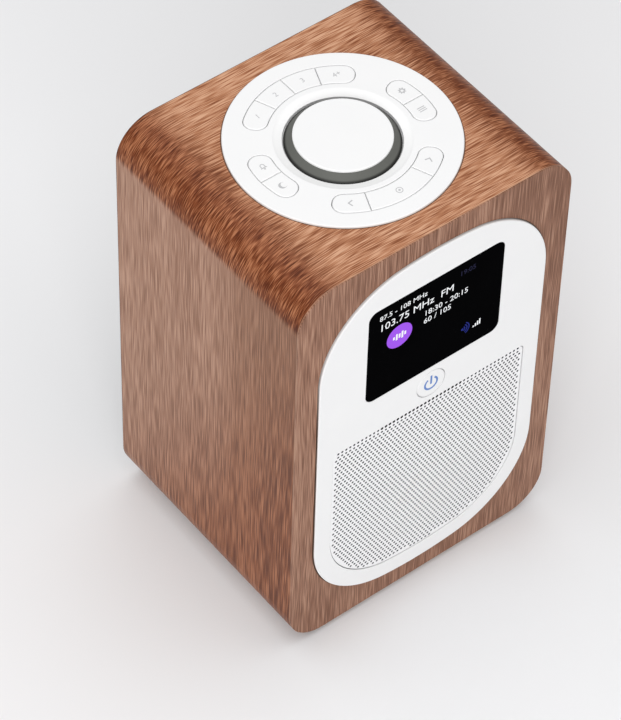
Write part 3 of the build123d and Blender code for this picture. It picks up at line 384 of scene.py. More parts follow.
# The bezel's outer wall is painted dark brown near its foot, less towards the top: painted shade of the gap
# between bezel and wood.
beyond_x = (x.math("ABSOLUTE") - (bezel_high.x / MM - BEZEL_R)).math("MAXIMUM", 0.0)
beyond_z = ((z - bezel_mid).math("ABSOLUTE") - BEZEL_JOIN_Z).math("MAXIMUM", 0.0)
reach = (beyond_x * beyond_x + beyond_z * beyond_z).math("SQRT") - BEZEL_R
gap_shadow = reach.smooth(-0.35, -0.15) * (y - bezel_low.y / MM).smooth(0.50, 0.65)
gap_shadow = gap_shadow * (1.0 - (z - bezel_mid).smooth(20.0, 70.0) * 0.7)
bezel_white.set(Base_Color=bezel_white.mix(gap_shadow, bezel_white.tint, (0.11, 0.07, 0.05)))
wear(["front_bezel"], bezel_white)

DISH_R = 25.5
panel_white = moulded("panel_white", (0.83, 0.83, 0.83), (0.80, 0.80, 0.805), 0.42)
x, y, z = panel_white.place()
# The dish round the knob is painted a paler white than the panel: painted light that offsets the shade the
# knob casts into it.
in_dish = 1.0 - (x * x + (y - panel_y) * (y - panel_y)).math("SQRT").smooth(DISH_R - 1.5, DISH_R + 0.3)
speckle = panel_white.noise(x * 0.5, y * 0.5, z * 0.5, 3.0)
dish_painted_light = panel_white.mix(speckle, (0.875, 0.875, 0.875), (0.855, 0.855, 0.855))
panel_white.set(Base_Color=panel_white.mix(in_dish, panel_white.tint, dish_painted_light))
wear(["control_panel"], panel_white)


# The display window is a black pane, dark enough to hide the edge of the screen behind it.
# What glows on it is drawn as thin lit shapes: lines of numbers, a disc, a clock and signs.
pane = Finish("display_pane", Specular_IOR_Level=0.002)
x, y, z = pane.place()
smear = pane.noise(x * 0.06, y * 0.06, z * 0.06, 3.0)
pane_black = pane.mix(smear, (0.0004, 0.0004, 0.0006), (0.0009, 0.0009, 0.0012))
pane.set(Base_Color=pane_black, Roughness=0.10 + smear * 0.10)
wear(["display_lens"], pane)

lens_low, lens_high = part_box("display_lens")
window_z = (lens_low.z + lens_high.z) / 2
PRINT_T = 0.04
FIGURE_SHARE = 0.72


def facing_front(x_mm, z_mm, y):
    """The matrix that stands a flat drawing on a front-facing surface at depth y, centred at x and z."""
    turned = Matrix(((1, 0, 0), (0, 0, -1), (0, 1, 0))).to_4x4()
    return Matrix.Translation((x_mm * MM, y, z_mm * MM)) @ turned @ Matrix.Scale(MM, 4)


def facing_up(x_mm, y_mm, z):
    """The matrix that lays a flat drawing on a level surface at height z, centred at x and y."""
    return Matrix.Translation((x_mm * MM, y_mm * MM, z)) @ Matrix.Scale(MM, 4)


def drawn(name, outlines, where):
    """A thin flat piece from closed outlines in millimetres; an outline inside another makes a hole."""
    curve = bpy.data.curves.new(name, "CURVE")
    curve.dimensions = "2D"
    curve.fill_mode = "BOTH"
    curve.extrude = PRINT_T / 2
    for outline in outlines:
        points = np.asarray(outline, float)
        spline = curve.splines.new("POLY")
        spline.points.add(len(points) - 1)
        padded = np.column_stack([points, np.zeros(len(points)), np.ones(len(points))])
        spline.points.foreach_set("co", padded.ravel())
        spline.use_cyclic_u = True
    return flattened(name, curve, where)


def lettered(name, text, height_mm, where, align="LEFT"):
    """Plain figures of a given height as a thin flat piece, starting or centred at the drawing's origin."""
    curve = bpy.data.curves.new(name, "FONT")
    curve.body = text
    curve.size = height_mm / FIGURE_SHARE
    curve.align_x = align
    curve.extrude = PRINT_T / 2
    curve.resolution_u = 3
    return flattened(name, curve, where)


def flattened(name, curve, where):
    """Turns a curve into a mesh, then moves its points to their place."""
    holder = bpy.data.objects.new(name + "_line", curve)
    scene.collection.objects.link(holder)
    bpy.context.view_layer.update()
    seen = holder.evaluated_get(bpy.context.evaluated_depsgraph_get())
    mesh = bpy.data.meshes.new_from_object(seen)
    bpy.data.objects.remove(holder)
    mesh.transform(where @ Matrix.Translation((0, 0, PRINT_T / 2)))
    mesh.materials.clear()
    return mesh


def joined(name, meshes):
    """One mesh with the points and faces of several."""
    counts = np.cumsum([0] + [len(mesh.vertices) for mesh in meshes])
    points = []
    faces = []
    for start, mesh in zip(counts, meshes):
        place = np.empty(len(mesh.vertices) * 3)
        mesh.vertices.foreach_get("co", place)
        points.append(place.reshape(-1, 3))
        faces += [[start + v for v in face.vertices] for face in mesh.polygons]
    whole = bpy.data.meshes.new(name)
    whole.from_pydata(np.concatenate(points).tolist(), [], faces)
    return whole


def arc(radius, start_deg, end_deg, count=32, centre=(0.0, 0.0)):
    """Points along a circle from one angle to another."""
    angle = np.radians(np.linspace(start_deg, end_deg, count))
    return np.column_stack([centre[0] + radius * np.cos(angle), centre[1] + radius * np.sin(angle)])


def circle(radius, count=48, centre=(0.0, 0.0)):
    """Points round a whole circle."""
    return arc(radius, 0, 360, count + 1, centre)[:-1]


def band_arc(radius, width, start_deg, end_deg, centre=(0.0, 0.0)):
    """The outline of a stroke of a given width along an arc."""
    outer = arc(radius + width / 2, start_deg, end_deg, 40, centre)
    inner = arc(radius - width / 2, end_deg, start_deg, 40, centre)
    return np.concatenate([outer, inner])


def bar(x_low, x_high, y_low, y_high):
    """The outline of a rectangle."""
    return np.array([(x_low, y_low), (x_high, y_low), (x_high, y_high), (x_low, y_high)])


def glow(name, bright, dim):
    """A lit colour, the same from every side, between two close tones in fine specks over a dark base."""
    dark = (0.004, 0.004, 0.004, 1.0)
    finish = Finish(name, Base_Color=dark, Specular_IOR_Level=0.0, Emission_Strength=1.0)
    x, y, z = finish.place()
    specks = finish.noise(x * 3.0, y * 3.0, z * 3.0, 1.0)
    return finish.set(Emission_Color=finish.mix(specks, dim, bright))


screen_white = glow("screen_white", (0.98, 1.0, 1.02), (0.88, 0.90, 0.92))
screen_blue = glow("screen_blue", (0.022, 0.033, 0.24), (0.018, 0.027, 0.20))
screen_dim = glow("screen_dim", (0.022, 0.022, 0.055), (0.018, 0.018, 0.045))
screen_violet = glow("screen_violet", (0.39, 0.112, 0.91), (0.35, 0.098, 0.83))


def on_screen(dx, dz, layer=0):
    """A place on the window, in millimetres from its centre."""
    return facing_front(dx, window_z / MM + dz, lens_low.y - layer * PRINT_T * MM)


LEFT_LINES_X, RIGHT_LINES_X = -26.4, -5.6
DISC_PLACE = (-16.7, 4.2)
LEVEL_HEIGHTS = (0.7, 1.6, 1.1, 1.8, 0.9)
WAVES_PLACE = (13.6, -13.2)
signal_steps = [bar(18.6 + step, 19.2 + step, -15.4, -14.6 + step * 0.7) for step in (0.0, 1.0, 2.0, 3.0)]
levels = [bar(-3.0 + i * 1.3, -2.2 + i * 1.3, -high, high) for i, high in enumerate(LEVEL_HEIGHTS)]
waves = [band_arc(radius, 0.45, -60, 60, WAVES_PLACE) for radius in (1.2, 2.2, 3.2)]
white_signs = [
    lettered("line_small", "87.5 - 108 MHz", 2.5, on_screen(LEFT_LINES_X, 17.8)),
    lettered("line_large", "103.75 MHz  FM", 3.7, on_screen(LEFT_LINES_X, 12.0)),
    lettered("line_first", "18:30 - 20:15", 2.8, on_screen(RIGHT_LINES_X, 6.8)),
    lettered("line_second", "60 / 105", 2.8, on_screen(RIGHT_LINES_X, 2.7)),
    drawn("signal_bars", signal_steps, on_screen(0, 0)),
    drawn("level_bars", levels, on_screen(*DISC_PLACE, 1)),
]
screen_lines = joined("screen_lines", white_signs)
violet_disc = drawn("violet_disc", [circle(5.85, 64)], on_screen(*DISC_PLACE))
blue_sign = drawn("blue_sign", [*waves, circle(0.6, 16, WAVES_PLACE)], on_screen(0, 0))
clock = lettered("clock", "19:05", 2.5, on_screen(10.4, 17.5))
new_piece("screen_lines", screen_lines, screen_white, "cabinet")
new_piece("screen_disc", violet_disc, screen_violet, "cabinet")
new_piece("screen_sign", blue_sign, screen_blue, "cabinet")
new_piece("screen_clock", clock, screen_dim, "cabinet")


# The power sign is printed in blue on the round button, which slides in a hole in the bezel.
# It is a ring open at the top, and a bar through the gap.
button_low, button_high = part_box("power_button")
button_z = (button_low.z + button_high.z) / 2 / MM


def ink(name, pale, deep):
    """Printed ink: two close tones in fine specks."""
    finish = Finish(name, Roughness=0.5)
    x, y, z = finish.place()
    specks = finish.noise(x * 3.0, y * 3.0, z * 3.0, 2.0)
    return finish.set(Base_Color=finish.mix(specks, pale, deep))


POWER_R = 2.9
POWER_STROKE = 0.85
blue_ink = ink("blue_ink", (0.10, 0.22, 0.55), (0.075, 0.18, 0.48))
power_ring = band_arc(POWER_R, POWER_STROKE, 122, 418)
power_bar = bar(-POWER_STROKE / 2, POWER_STROKE / 2, -0.4, 4.2)
power_sign = drawn("power_sign", [power_ring, power_bar], facing_front(0.0, button_z, button_low.y))
new_piece("power_sign", power_sign, blue_ink, "power_button")


# The grille is a thin white steel sheet, punched all over with small round holes in staggered rows.
# Its middle is pressed forward to stand in the bezel's opening, and its flange lies behind the
# opening's lip, with black cloth behind it.
grille_low, grille_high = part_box("grille")
SHEET_T = 0.5
FLANGE = 1.7
FIELD_GAP = 0.3
GRILLE_R = 33.5
GRILLE_TOP_R = 2.5
CROWN = math.radians(7.1)
HOLE_PITCH = 1.86
HOLE_ROW = 1.65
HOLE_R = 0.535
HOLE_SIDES = 10
HOLE_MARGIN = 0.90
TOP_ROW_R = 0.56
DARK_ROW_R = 0.70
DARK_ROW_FROM, DARK_ROW_TO = -22.5, 16.5
grille_front = grille_low.y / MM
grille_back = grille_high.y / MM


def grille_edge(grow):
    """The opening's outline in order, grown by a distance: straight above with small corners, and below
    two large arcs that run into one wide shallow arc."""
    half_w = grille_high.x / MM - FLANGE + grow
    low = grille_low.z / MM + FLANGE - grow
    high = grille_high.z / MM - FLANGE + grow
    radius = GRILLE_R + grow
    join_x = half_w - radius + radius * math.sin(CROWN)
    crown_r = join_x / math.sin(CROWN)
    centre_z = low + crown_r * (1 - math.cos(CROWN)) + radius * math.cos(CROWN)
    lean = math.degrees(CROWN)
    left = arc(radius, 180, 270 - lean, 30, (radius - half_w, centre_z))
    crown = arc(crown_r, 270 - lean, 270 + lean, 14, (0.0, low + crown_r))[1:-1]
    right = arc(radius, 270 + lean, 360, 30, (half_w - radius, centre_z))
    top_right = arc(GRILLE_TOP_R, 0, 90, 8, (half_w - GRILLE_TOP_R, high - GRILLE_TOP_R))
    top_left = arc(GRILLE_TOP_R, 90, 180, 8, (GRILLE_TOP_R - half_w, high - GRILLE_TOP_R))
    return np.concatenate([left, crown, right, top_right, top_left])


def ring_mesh(name, grids):
    """One mesh from grids of points in millimetres that close on themselves in both parameters."""
    points, faces = [], []
    for grid in grids:
        rows, columns = grid.shape[:2]
        index = np.arange(rows * columns).reshape(rows, columns) + sum(len(p) for p in points)
        after, next_row = np.roll(index, -1, axis=1), np.roll(index, -1, axis=0)
        quads = np.stack([index, after, np.roll(after, -1, axis=0), next_row], axis=-1).reshape(-1, 4)
        faces += quads.tolist()
        points.append(grid.reshape(-1, 3))
    mesh = bpy.data.meshes.new(name)
    mesh.from_pydata((np.concatenate(points) * MM).tolist(), [], faces)
    return mesh


def pressed_rim():
    """The step and the flange: a six-cornered section, carried along the outline.

    Each corner of the section follows the outline at its own distance from it.
    """
    step_y = grille_front + SHEET_T
    flange_y = grille_back - SHEET_T
    inner = -FIELD_GAP - SHEET_T
    section = (
        (-FIELD_GAP, flange_y), (FLANGE, flange_y), (FLANGE, grille_back),
        (inner, grille_back), (inner, step_y), (-FIELD_GAP, step_y),
    )
    loops = []
    for grow, depth in section:
        edge = grille_edge(grow)
        loops.append(np.column_stack([edge[:, 0], np.full(len(edge), depth), edge[:, 1]]))
    return ring_mesh("pressed_rim", [np.stack(loops, axis=1)])


def gap_inside(points, outline):
    """How far each point lies inside a closed outline, negative where it lies outside.

    The size is the distance to the nearest side; the sign counts how many sides a level ray crosses.
    """
    start, end = outline, np.roll(outline, -1, axis=0)
    run = end - start
    offset = points[:, None, :] - start[None]
    share = np.clip((offset * run).sum(-1) / (run ** 2).sum(-1), 0, 1)
    gap = np.linalg.norm(offset - share[..., None] * run, axis=-1).min(axis=1)
    spans = (start[:, 1] > points[:, None, 1]) != (end[:, 1] > points[:, None, 1])
    rise = np.where(run[:, 1] == 0, 1.0, run[:, 1])
    crossing = start[:, 0] + (points[:, None, 1] - start[:, 1]) / rise * run[:, 0]
    inside = (spans & (points[:, None, 0] < crossing)).sum(axis=1) % 2 == 1
    return np.where(inside, gap, -gap)


opening_top = grille_high.z / MM - FLANGE
TOP_ROW_Z = opening_top - 1.2
SECOND_ROW_Z = opening_top - 3.1


def hole_centres(outline):
    """The staggered lattice of hole centres, counted from the second row down, and the row set above it."""
    column, row = np.meshgrid(np.arange(-26, 27), np.arange(0, 54))
    x_mm = (column + 0.5 * (row % 2)) * HOLE_PITCH
    z_mm = SECOND_ROW_Z - row * HOLE_ROW
    places = np.column_stack([x_mm.ravel(), z_mm.ravel()])
    lattice = places[gap_inside(places, outline) > HOLE_MARGIN]
    top_x = np.arange(-23, 24) * HOLE_PITCH
    return lattice, np.column_stack([top_x, np.full(len(top_x), TOP_ROW_Z)])


def punched_sheet(name, centres, radii, outline, front, back):
    """A flat sheet between two depths with a round hole of its own radius at every centre.

    The front is the triangulation of the outline with the holes left out, the back is its copy
    turned over, and a band of four-sided faces joins them along the outline and round each hole.
    """
    ring = circle(1.0, HOLE_SIDES)
    holes = (centres[:, None, :] + ring[None, :, :] * radii[:, None, None]).reshape(-1, 2)
    points = np.concatenate([outline, holes])
    loops = [np.arange(len(outline))]
    starts = len(outline) + HOLE_SIDES * np.arange(len(centres))
    loops += list(starts[:, None] + np.arange(HOLE_SIDES)[None, :])
    edges = np.concatenate([np.column_stack([loop, np.roll(loop, -1)]) for loop in loops])
    vectors = [Vector(point) for point in points]
    flat, _, faces, _, _, _ = delaunay_2d_cdt(vectors, edges.tolist(), [], 1, 1e-6)
    flat = np.array([tuple(point) for point in flat])
    faces = np.array(faces)
    middle = flat[faces].mean(axis=1)
    gap_left = np.full(len(middle), np.inf)
    radius = np.zeros(len(middle))
    for chunk in np.array_split(np.arange(len(middle)), 64):
        gaps = np.linalg.norm(middle[chunk, None, :] - centres[None, :, :], axis=-1)
        radius[chunk] = radii[gaps.argmin(axis=1)]
        gap_left[chunk] = gaps.min(axis=1) - radius[chunk]
    a, b, c = flat[faces[:, 0]], flat[faces[:, 1]], flat[faces[:, 2]]
    longest = np.maximum.reduce([np.hypot(*(a - b).T), np.hypot(*(b - c).T), np.hypot(*(c - a).T)])
    is_hole = (gap_left < -0.03 * radius) & (longest <= 2.001 * radius)
    faces = faces[~is_hole]
    signed = np.cross(b[~is_hole] - a[~is_hole], c[~is_hole] - a[~is_hole])
    faces = np.where(signed[:, None] > 0, faces, faces[:, ::-1])
    total = len(flat)
    front_points = np.column_stack([flat[:, 0], np.full(total, front), flat[:, 1]])
    back_points = np.column_stack([flat[:, 0], np.full(total, back), flat[:, 1]])
    sides = np.concatenate([faces[:, [0, 1]], faces[:, [1, 2]], faces[:, [2, 0]]])
    keys = np.sort(sides, axis=1)
    _, where, count = np.unique(keys, axis=0, return_index=True, return_counts=True)
    rim = sides[where[count == 1]]
    walls = np.column_stack([rim[:, 1], rim[:, 0], rim[:, 0] + total, rim[:, 1] + total])
    mesh = bpy.data.meshes.new(name)
    all_points = np.concatenate([front_points, back_points]) * MM
    all_faces = [*faces.tolist(), *(faces[:, ::-1] + total).tolist(), *walls.tolist()]
    mesh.from_pydata(all_points.tolist(), [], all_faces)
    return mesh


field_edge = grille_edge(-FIELD_GAP)
lattice, top_row = hole_centres(field_edge)
centres = np.concatenate([lattice, top_row])
in_dark_part = (top_row[:, 0] > DARK_ROW_FROM) & (top_row[:, 0] < DARK_ROW_TO)
radii = np.concatenate([np.full(len(lattice), HOLE_R), np.where(in_dark_part, DARK_ROW_R, TOP_ROW_R)])
field = punched_sheet("punched_field", centres, radii, field_edge, grille_front, grille_front + SHEET_T)
grille_mesh = joined("punched_grille", [field, pressed_rim()])
white_steel = Finish("painted_steel", Specular_IOR_Level=0.4)
x, y, z = white_steel.place()
fine = white_steel.noise(x * 3.0, y * 3.0, z * 3.0, 1.0)
depth = y - grille_front
# The walls of the holes are near-black, partly bare punched steel and partly painted shade inside the holes;
# in the middle of the top row they are black, painted shadow of the bezel's lip.
in_top_row = (z - TOP_ROW_Z).math("ABSOLUTE").math("LESS_THAN", DARK_ROW_R + 0.02)
past_left = x.math("GREATER_THAN", DARK_ROW_FROM - DARK_ROW_R)
short_of_right = x.math("LESS_THAN", DARK_ROW_TO + DARK_ROW_R)
lip_shadow_part = in_top_row * past_left * short_of_right
bare_wall_and_shade = white_steel.mix(lip_shadow_part, (0.06, 0.06, 0.075), (0.003, 0.003, 0.003))
paint = white_steel.mix(fine, (0.86, 0.86, 0.865), (0.83, 0.83, 0.845))
steel_tone = white_steel.mix(depth.smooth(0.02, 0.10), paint, bare_wall_and_shade)
# The step wall and the flange behind it are a darker grey, partly bare steel and partly painted shade in the
# seam round the field.
steel_tone = white_steel.mix(depth.math("GREATER_THAN", SHEET_T + 0.02), steel_tone, (0.45, 0.45, 0.46))
white_steel.set(Base_Color=steel_tone, Roughness=0.5 + (fine - 0.5) * 0.1)
punched_grille = new_piece("punched_grille", grille_mesh, white_steel, "cabinet")
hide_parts("grille")

cloth = Finish("grille_cloth", Roughness=0.95)
x, y, z = cloth.place()
weave = (x * 4.2).math("SINE") * (z * 4.2).math("SINE") * 0.5 + 0.5
cloth_black = cloth.mix(weave, (0.008, 0.008, 0.009), (0.035, 0.035, 0.037))
cloth.set(Base_Color=cloth_black, Normal=cloth.bump(weave, 0.1, 0.6))
wear(["grille_cloth"], cloth)


# The keys lie round the knob in four groups, each group in a slot of the panel. Their signs are printed
# in pale grey: plain numbers on the presets, chevrons for back and forward, and simple signs on the rest.
KEY_MID_R = 32.4
grey_ink = ink("grey_ink", (0.50, 0.50, 0.51), (0.44, 0.44, 0.45))


def on_key(name, angle_deg, turn_deg=0.0):
    """The place in the middle of a key, on its top, with the drawing turned by an angle."""
    angle = math.radians(angle_deg)
    key_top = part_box(name)[1].z
    place = facing_up(KEY_MID_R * math.cos(angle), panel_y + KEY_MID_R * math.sin(angle), key_top)
    return place @ Matrix.Rotation(math.radians(turn_deg), 4, "Z")


def number_on(name, angle_deg, text):
    """A number centred on a key."""
    where = on_key(name, angle_deg) @ Matrix.Translation((0, -1.15, 0))
    return lettered(name + "_sign", text, 2.3, where, "CENTER")


def chevron(way):
    """An open arrow head that points left or right."""
    right_way = [(1.0, 0.0), (-0.55, 1.5), (-0.9, 1.2), (0.35, 0.0), (-0.9, -1.2), (-0.55, -1.5)]
    return np.array(right_way) * (way, 1)


def bell():
    """A small alarm bell: a dome with a flared foot and a clapper."""
    dome = arc(0.95, 180, 0, 14, (0.0, 0.3))
    foot = [(0.95, -0.5), (1.4, -0.95), (-1.4, -0.95), (-0.95, -0.5)]
    inner = np.concatenate([arc(0.6, 180, 0, 14, (0.0, 0.3)), [(0.6, -0.55), (-0.6, -0.55)]])
    return [np.concatenate([dome, foot]), inner, circle(0.35, 14, (0.0, -1.4))]


def gear():
    """A cog with eight teeth and a round eye."""
    angle = np.linspace(0, 2 * np.pi, 64, endpoint=False)
    radius = np.where(np.cos(8 * angle) > 0, 1.55, 1.15)
    return [np.column_stack([radius * np.cos(angle), radius * np.sin(angle)]), circle(0.6, 20)]


def moon():
    """A crescent."""
    outer = arc(1.5, 50, 310, 28)
    inner = arc(1.3, 295, 65, 24, (0.75, 0.0))
    return [np.concatenate([outer, inner])]


def menu_bars():
    """Three short lines."""
    return [bar(-1.6, 1.6, level - 0.18, level + 0.18) for level in (-0.9, 0.0, 0.9)]


def ring_mark():
    """A ring with a dot in it."""
    return [circle(1.4, 32), circle(1.1, 32), circle(0.45, 16)]


NUMBER_KEYS = (
    ("key_preset_1", 124, "1"),
    ("key_preset_2", 101, "2"),
    ("key_preset_3", 79, "3"),
    ("key_preset_4", 56, "4+"),
)
SIGN_KEYS = (
    ("key_alarm", 169.7, 0, bell()),
    ("key_snooze", 190.3, 0, moon()),
    ("key_settings", 10.3, 0, gear()),
    ("key_menu", -10.3, 0, menu_bars()),
    ("key_back", -123.6, -33.6, [chevron(-1)]),
    ("key_select", -90, 0, ring_mark()),
    ("key_forward", -56.4, 33.6, [chevron(1)]),
)
for name, angle, text in NUMBER_KEYS:
    new_piece(name + "_sign", number_on(name, angle, text), grey_ink, name)
for name, angle, turned_by, shapes in SIGN_KEYS:
    sign = drawn(name + "_sign", shapes, on_key(name, angle, turned_by))
    new_piece(name + "_sign", sign, grey_ink, name)


# The knob's body is a tapered ring of grey plastic with a fine matt grain, and its cap a white disc.
# The knob sits on the encoder's shaft, and its foot is painted dark: painted shade of the gap to the panel.
knob_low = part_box("knob_body")[0]
grey_plastic = moulded("grey_plastic", (0.114, 0.116, 0.106), (0.099, 0.101, 0.092), 0.5, 0.3, 0.01, 0.25)
x, y, z = grey_plastic.place()
foot_shade = 1.0 - (z - knob_low.z / MM).smooth(0.4, 1.1)
grey_plastic.set(Base_Color=grey_plastic.mix(foot_shade * 0.9, grey_plastic.tint, (0.012, 0.012, 0.011)))
wear(["knob_body"], grey_plastic)


# The back is closed by a black moulded cover with a spark-eroded texture, which also holds the battery door
# and the antenna's swivel base. The sockets' noses are a smoother black, and the antenna is chromed tube.
black_plastic = moulded("black_plastic", (0.022, 0.022, 0.023), (0.016, 0.016, 0.017), 0.55, 0.4, 0.03)
wear(["rear_cover", "battery_door", "panel_retainer", "antenna_base", "speaker_lead"], black_plastic)
socket_black = moulded("socket_black", (0.012, 0.012, 0.012), (0.008, 0.008, 0.008), 0.3, 0.3, 0.01)
SOCKET_NODES = ["aux_socket", "headphone_socket", "dc_inlet"]
SWITCH_NODES = ["power_switch", "key_switches", "encoder_body", "encoder_plunger"]
wear([*SOCKET_NODES, *SWITCH_NODES], socket_black)


def metal(name, pale, deep, rough, lines):
    """Bright metal with fine drawn lines across its length in the gloss and the relief."""
    finish = Finish(name, Metallic=1.0)
    x, y, z = finish.place()
    drawn_lines = finish.noise(x * 0.4, y * 0.4, z * lines, 2.0)
    return finish.set(
        Base_Color=finish.mix(drawn_lines, pale, deep),
        Roughness=rough + drawn_lines * 0.12,
        Normal=finish.bump(drawn_lines, 0.004, 0.4),
    )


chrome = metal("antenna_chrome", (0.72, 0.72, 0.73), (0.62, 0.62, 0.63), 0.08, 3.0)
ANTENNA_TUBES = ["antenna_tube_1", "antenna_tube_2", "antenna_tube_3", "antenna_rod"]
wear(["antenna_knuckle", "antenna_pin", *ANTENNA_TUBES], chrome)
steel = metal("screw_steel", (0.46, 0.46, 0.47), (0.36, 0.36, 0.37), 0.28, 2.0)
SPEAKER_IRON = ["speaker_top_plate", "speaker_yoke"]
wear(["rear_cover_screws", "mounting_screws", "encoder_shaft", "tuner_module", *SPEAKER_IRON], steel)
copper = metal("coil_copper", (0.62, 0.28, 0.13), (0.5, 0.2, 0.09), 0.3, 6.0)
wear(["voice_coil"], copper)


# Six pan-head screws hold the cover, three along each side.
# They are blackened steel with a cross recess.
cover_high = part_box("rear_cover")[1]
screws_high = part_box("rear_cover_screws")[1]
HEAD_R = 3.0
HEAD_H = (screws_high.y - cover_high.y) / MM
RECESS_HALF_W = 0.32
RECESS_L = 1.7
RECESS_D = 0.75
SCREW_X = 51.5
SCREW_LEVELS = (23.0, 100.0, 163.0)
SCREW_PLACES = [(side * SCREW_X, level) for side in (-1, 1) for level in SCREW_LEVELS]


def grid_mesh(name, grids):
    """One closed mesh from grids of points in millimetres, each closed round its second parameter.

    Neighbours in a grid are joined by four-sided faces; its first and last rows are closed by a face each.
    """
    points, faces = [], []
    for grid in grids:
        rows, columns = grid.shape[:2]
        index = np.arange(rows * columns).reshape(rows, columns) + sum(len(p) for p in points)
        after = np.roll(index, -1, axis=1)
        quads = np.stack([index[:-1], after[:-1], after[1:], index[1:]], axis=-1).reshape(-1, 4)
        faces += quads.tolist() + [index[0, ::-1].tolist(), index[-1].tolist()]
        points.append(grid.reshape(-1, 3))
    mesh = bpy.data.meshes.new(name)
    mesh.from_pydata((np.concatenate(points) * MM).tolist(), [], faces)
    return mesh


def screw_head(x_mm, z_mm):
    """A domed head seen along y: rings of radius r rise as a shallow arc, less a cross sunk in the middle."""
    share = np.concatenate([np.linspace(0.02, 0.97, 22), [1.0, 1.0]])
    angle = np.linspace(0, 2 * np.pi, 48, endpoint=False)
    share, angle = np.meshgrid(share, angle, indexing="ij")
    across, up = HEAD_R * share * np.cos(angle), HEAD_R * share * np.sin(angle)
    arm = np.minimum(np.abs(across), np.abs(up))
    reach = np.maximum(np.abs(across), np.abs(up))
    between_walls = np.clip((RECESS_HALF_W - arm) / 0.12 + 0.5, 0, 1)
    short_of_end = np.clip((RECESS_L - reach) / 0.3 + 0.5, 0, 1)
    rise = HEAD_H * (1 - 0.65 * share ** 2.6) - RECESS_D * between_walls * short_of_end
    rise[-1] = 0.0
    return np.stack([x_mm + across, cover_high.y / MM + rise, z_mm + up], axis=-1)


dark_steel = metal("dark_steel", (0.16, 0.16, 0.165), (0.11, 0.11, 0.115), 0.3, 2.0)
heads = grid_mesh("cross_screws", [screw_head(*place) for place in SCREW_PLACES])
cover_screws = new_piece("cross_screws", heads, dark_steel, "cabinet")
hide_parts("rear_cover_screws")


# The sockets have bright plated rims. Small pale signs above them are printed on the cover: an arrow into
# a ring for the line input, headphones, and the polarity of the low-voltage inlet.
SOCKET_Z = 87.0
AUX_X, PHONES_X, INLET_X = -6.0, 12.0, -34.0
SIGN_Z = 95.5
RIM_RISE = 0.28


def socket_rim(x_mm, inner, outer):
    """A ring with a round section, swept about the socket's axis."""
    around = np.linspace(0, 2 * np.pi, 40, endpoint=False)
    section = np.linspace(0, 2 * np.pi, 12, endpoint=False)
    around, section = np.meshgrid(around, section, indexing="ij")
    radius = (inner + outer) / 2 + (outer - inner) / 2 * np.cos(section)
    across, up = radius * np.cos(around), radius * np.sin(around)
    rise = RIM_RISE * np.sin(section)
    return np.stack([x_mm + across, cover_high.y / MM + rise, SOCKET_Z + up], axis=-1)


rims = [socket_rim(AUX_X, 1.85, 2.75), socket_rim(PHONES_X, 1.85, 2.75), socket_rim(INLET_X, 2.8, 3.5)]
new_piece("socket_rims", ring_mesh("socket_rims", rims), chrome, "cabinet")


def on_cover(x_mm, z_mm):
    """A place on the back cover, seen from behind."""
    turned = Matrix(((-1, 0, 0), (0, 0, 1), (0, 1, 0))).to_4x4()
    return Matrix.Translation((x_mm * MM, cover_high.y, z_mm * MM)) @ turned @ Matrix.Scale(MM, 4)


headphones = [band_arc(1.9, 0.45, 2, 178), bar(-2.35, -1.45, -1.7, 0.0), bar(1.45, 2.35, -1.7, 0.0)]
arrow_half = np.array([(-3.4, 0.22), (-0.9, 0.22), (-0.9, 0.8), (0.3, 0.0)])
line_in = [band_arc(1.9, 0.45, -140, 140), np.concatenate([arrow_half, arrow_half[-2::-1] * (1, -1)])]
POLE_X = 4.2
ARM = 0.5
THIN = 0.14
plus_left = [(-ARM, -THIN), (-THIN, -THIN), (-THIN, -ARM)]
plus_half = np.array([*plus_left, (THIN, -ARM), (THIN, -THIN), (ARM, -THIN)])
plus = np.concatenate([plus_half, -plus_half]) + (POLE_X, 0.0)
minus = bar(-POLE_X - ARM, -POLE_X + ARM, -THIN, THIN)
pole_rings = [circle(radius, 24, (side * POLE_X, 0.0)) for side in (-1, 1) for radius in (1.05, 0.75)]
leads = [bar(0.6, 3.1, -0.17, 0.17), bar(-3.1, -1.5, -0.17, 0.17)]
polarity = [circle(0.55, 20), band_arc(1.3, 0.35, 50, 310), *leads, *pole_rings, plus, minus]
cover_signs = [
    drawn("headphones", headphones, on_cover(PHONES_X, SIGN_Z)),
    drawn("line_in", line_in, on_cover(AUX_X, SIGN_Z)),
    drawn("polarity", polarity, on_cover(INLET_X, SIGN_Z)),
]
pale_ink = ink("pale_ink", (0.50, 0.50, 0.50), (0.42, 0.42, 0.43))
new_piece("cover_signs", joined("cover_signs", cover_signs), pale_ink, "cabinet")


# The battery door turns about its lower edge and is opened at the notch in its upper edge.
# Five low grip ribs are moulded on it below the notch.
door_low, door_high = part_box("battery_door")
door_x = (door_low.x + door_high.x) / 2 / MM
RIB_L = 22.0
RIB_W = 1.0
RIB_H = 0.45
RIB_COUNT = 5
RIB_STEP = 2.2
RIBS_BELOW_TOP = 12.0


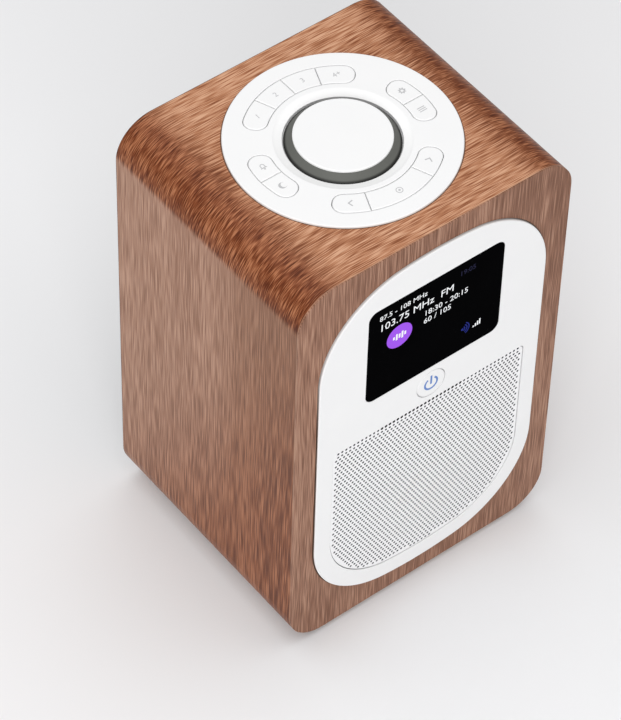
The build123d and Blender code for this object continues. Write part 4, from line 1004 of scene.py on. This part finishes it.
def rib(level):
    """A low rounded bar along x: loops of a stadium outline that shrink as they rise."""
    rise = np.sin(np.linspace(0, np.pi / 2, 6))[::-1]
    half = np.cos(np.linspace(0, np.pi / 2, 6))[::-1] * 0.96 + 0.04
    angle = np.linspace(0, 2 * np.pi, 32, endpoint=False)
    half, angle = np.meshgrid(half, angle, indexing="ij")
    across = np.sign(np.cos(angle)) * (RIB_L - RIB_W) / 2 + RIB_W / 2 * half * np.cos(angle)
    up = RIB_W / 2 * half * np.sin(angle)
    lift = np.broadcast_to(rise[:, None] * RIB_H, up.shape)
    return np.stack([door_x + across, door_high.y / MM + lift, level + up], axis=-1)


rib_levels = door_high.z / MM - RIBS_BELOW_TOP - RIB_STEP * np.arange(RIB_COUNT)
ribs = grid_mesh("door_ribs", [rib(level) for level in rib_levels])
new_piece("door_ribs", ribs, black_plastic, "battery_door")


# Inside are the boards, the screen, the loudspeaker, the battery pack and the flat cable.
# Only the battery pack shows, when its door is open, but each has its own finish.
board = Finish("circuit_board", Roughness=0.45)
x, y, z = board.place()
tracks = board.noise(x * 0.35, y * 0.35, z * 0.35, 0.0).math("MULTIPLY", 14.0).math("SINE").smooth(0.2, 0.5)
board_green = board.mix(tracks, (0.010, 0.085, 0.035), (0.03, 0.17, 0.07))
board.set(Base_Color=board_green, Normal=board.bump(tracks, 0.03, 0.5))
wear(["display_board", "control_board", "main_board"], board)
INNER_PLASTICS = (
    ("display_module", (0.03, 0.03, 0.04), (0.02, 0.02, 0.03), 0.25),
    ("speaker_frame", (0.04, 0.04, 0.042), (0.03, 0.03, 0.03), 0.5),
    ("speaker_magnet", (0.07, 0.07, 0.075), (0.05, 0.05, 0.05), 0.6),
    ("speaker_cone", (0.05, 0.05, 0.05), (0.03, 0.03, 0.03), 0.9),
    ("speaker_spider", (0.30, 0.20, 0.08), (0.24, 0.15, 0.06), 0.9),
    ("speaker_surround", (0.025, 0.025, 0.025), (0.015, 0.015, 0.015), 0.7),
    ("speaker_gasket", (0.03, 0.03, 0.03), (0.02, 0.02, 0.02), 0.95),
    ("battery_pack", (0.05, 0.08, 0.14), (0.035, 0.06, 0.11), 0.35),
    ("ribbon_cable", (0.5, 0.5, 0.5), (0.4, 0.4, 0.41), 0.5),
)
for name, pale, deep, rough in INNER_PLASTICS:
    wear([name], moulded(name + "_finish", pale, deep, rough, 0.5, 0.03))
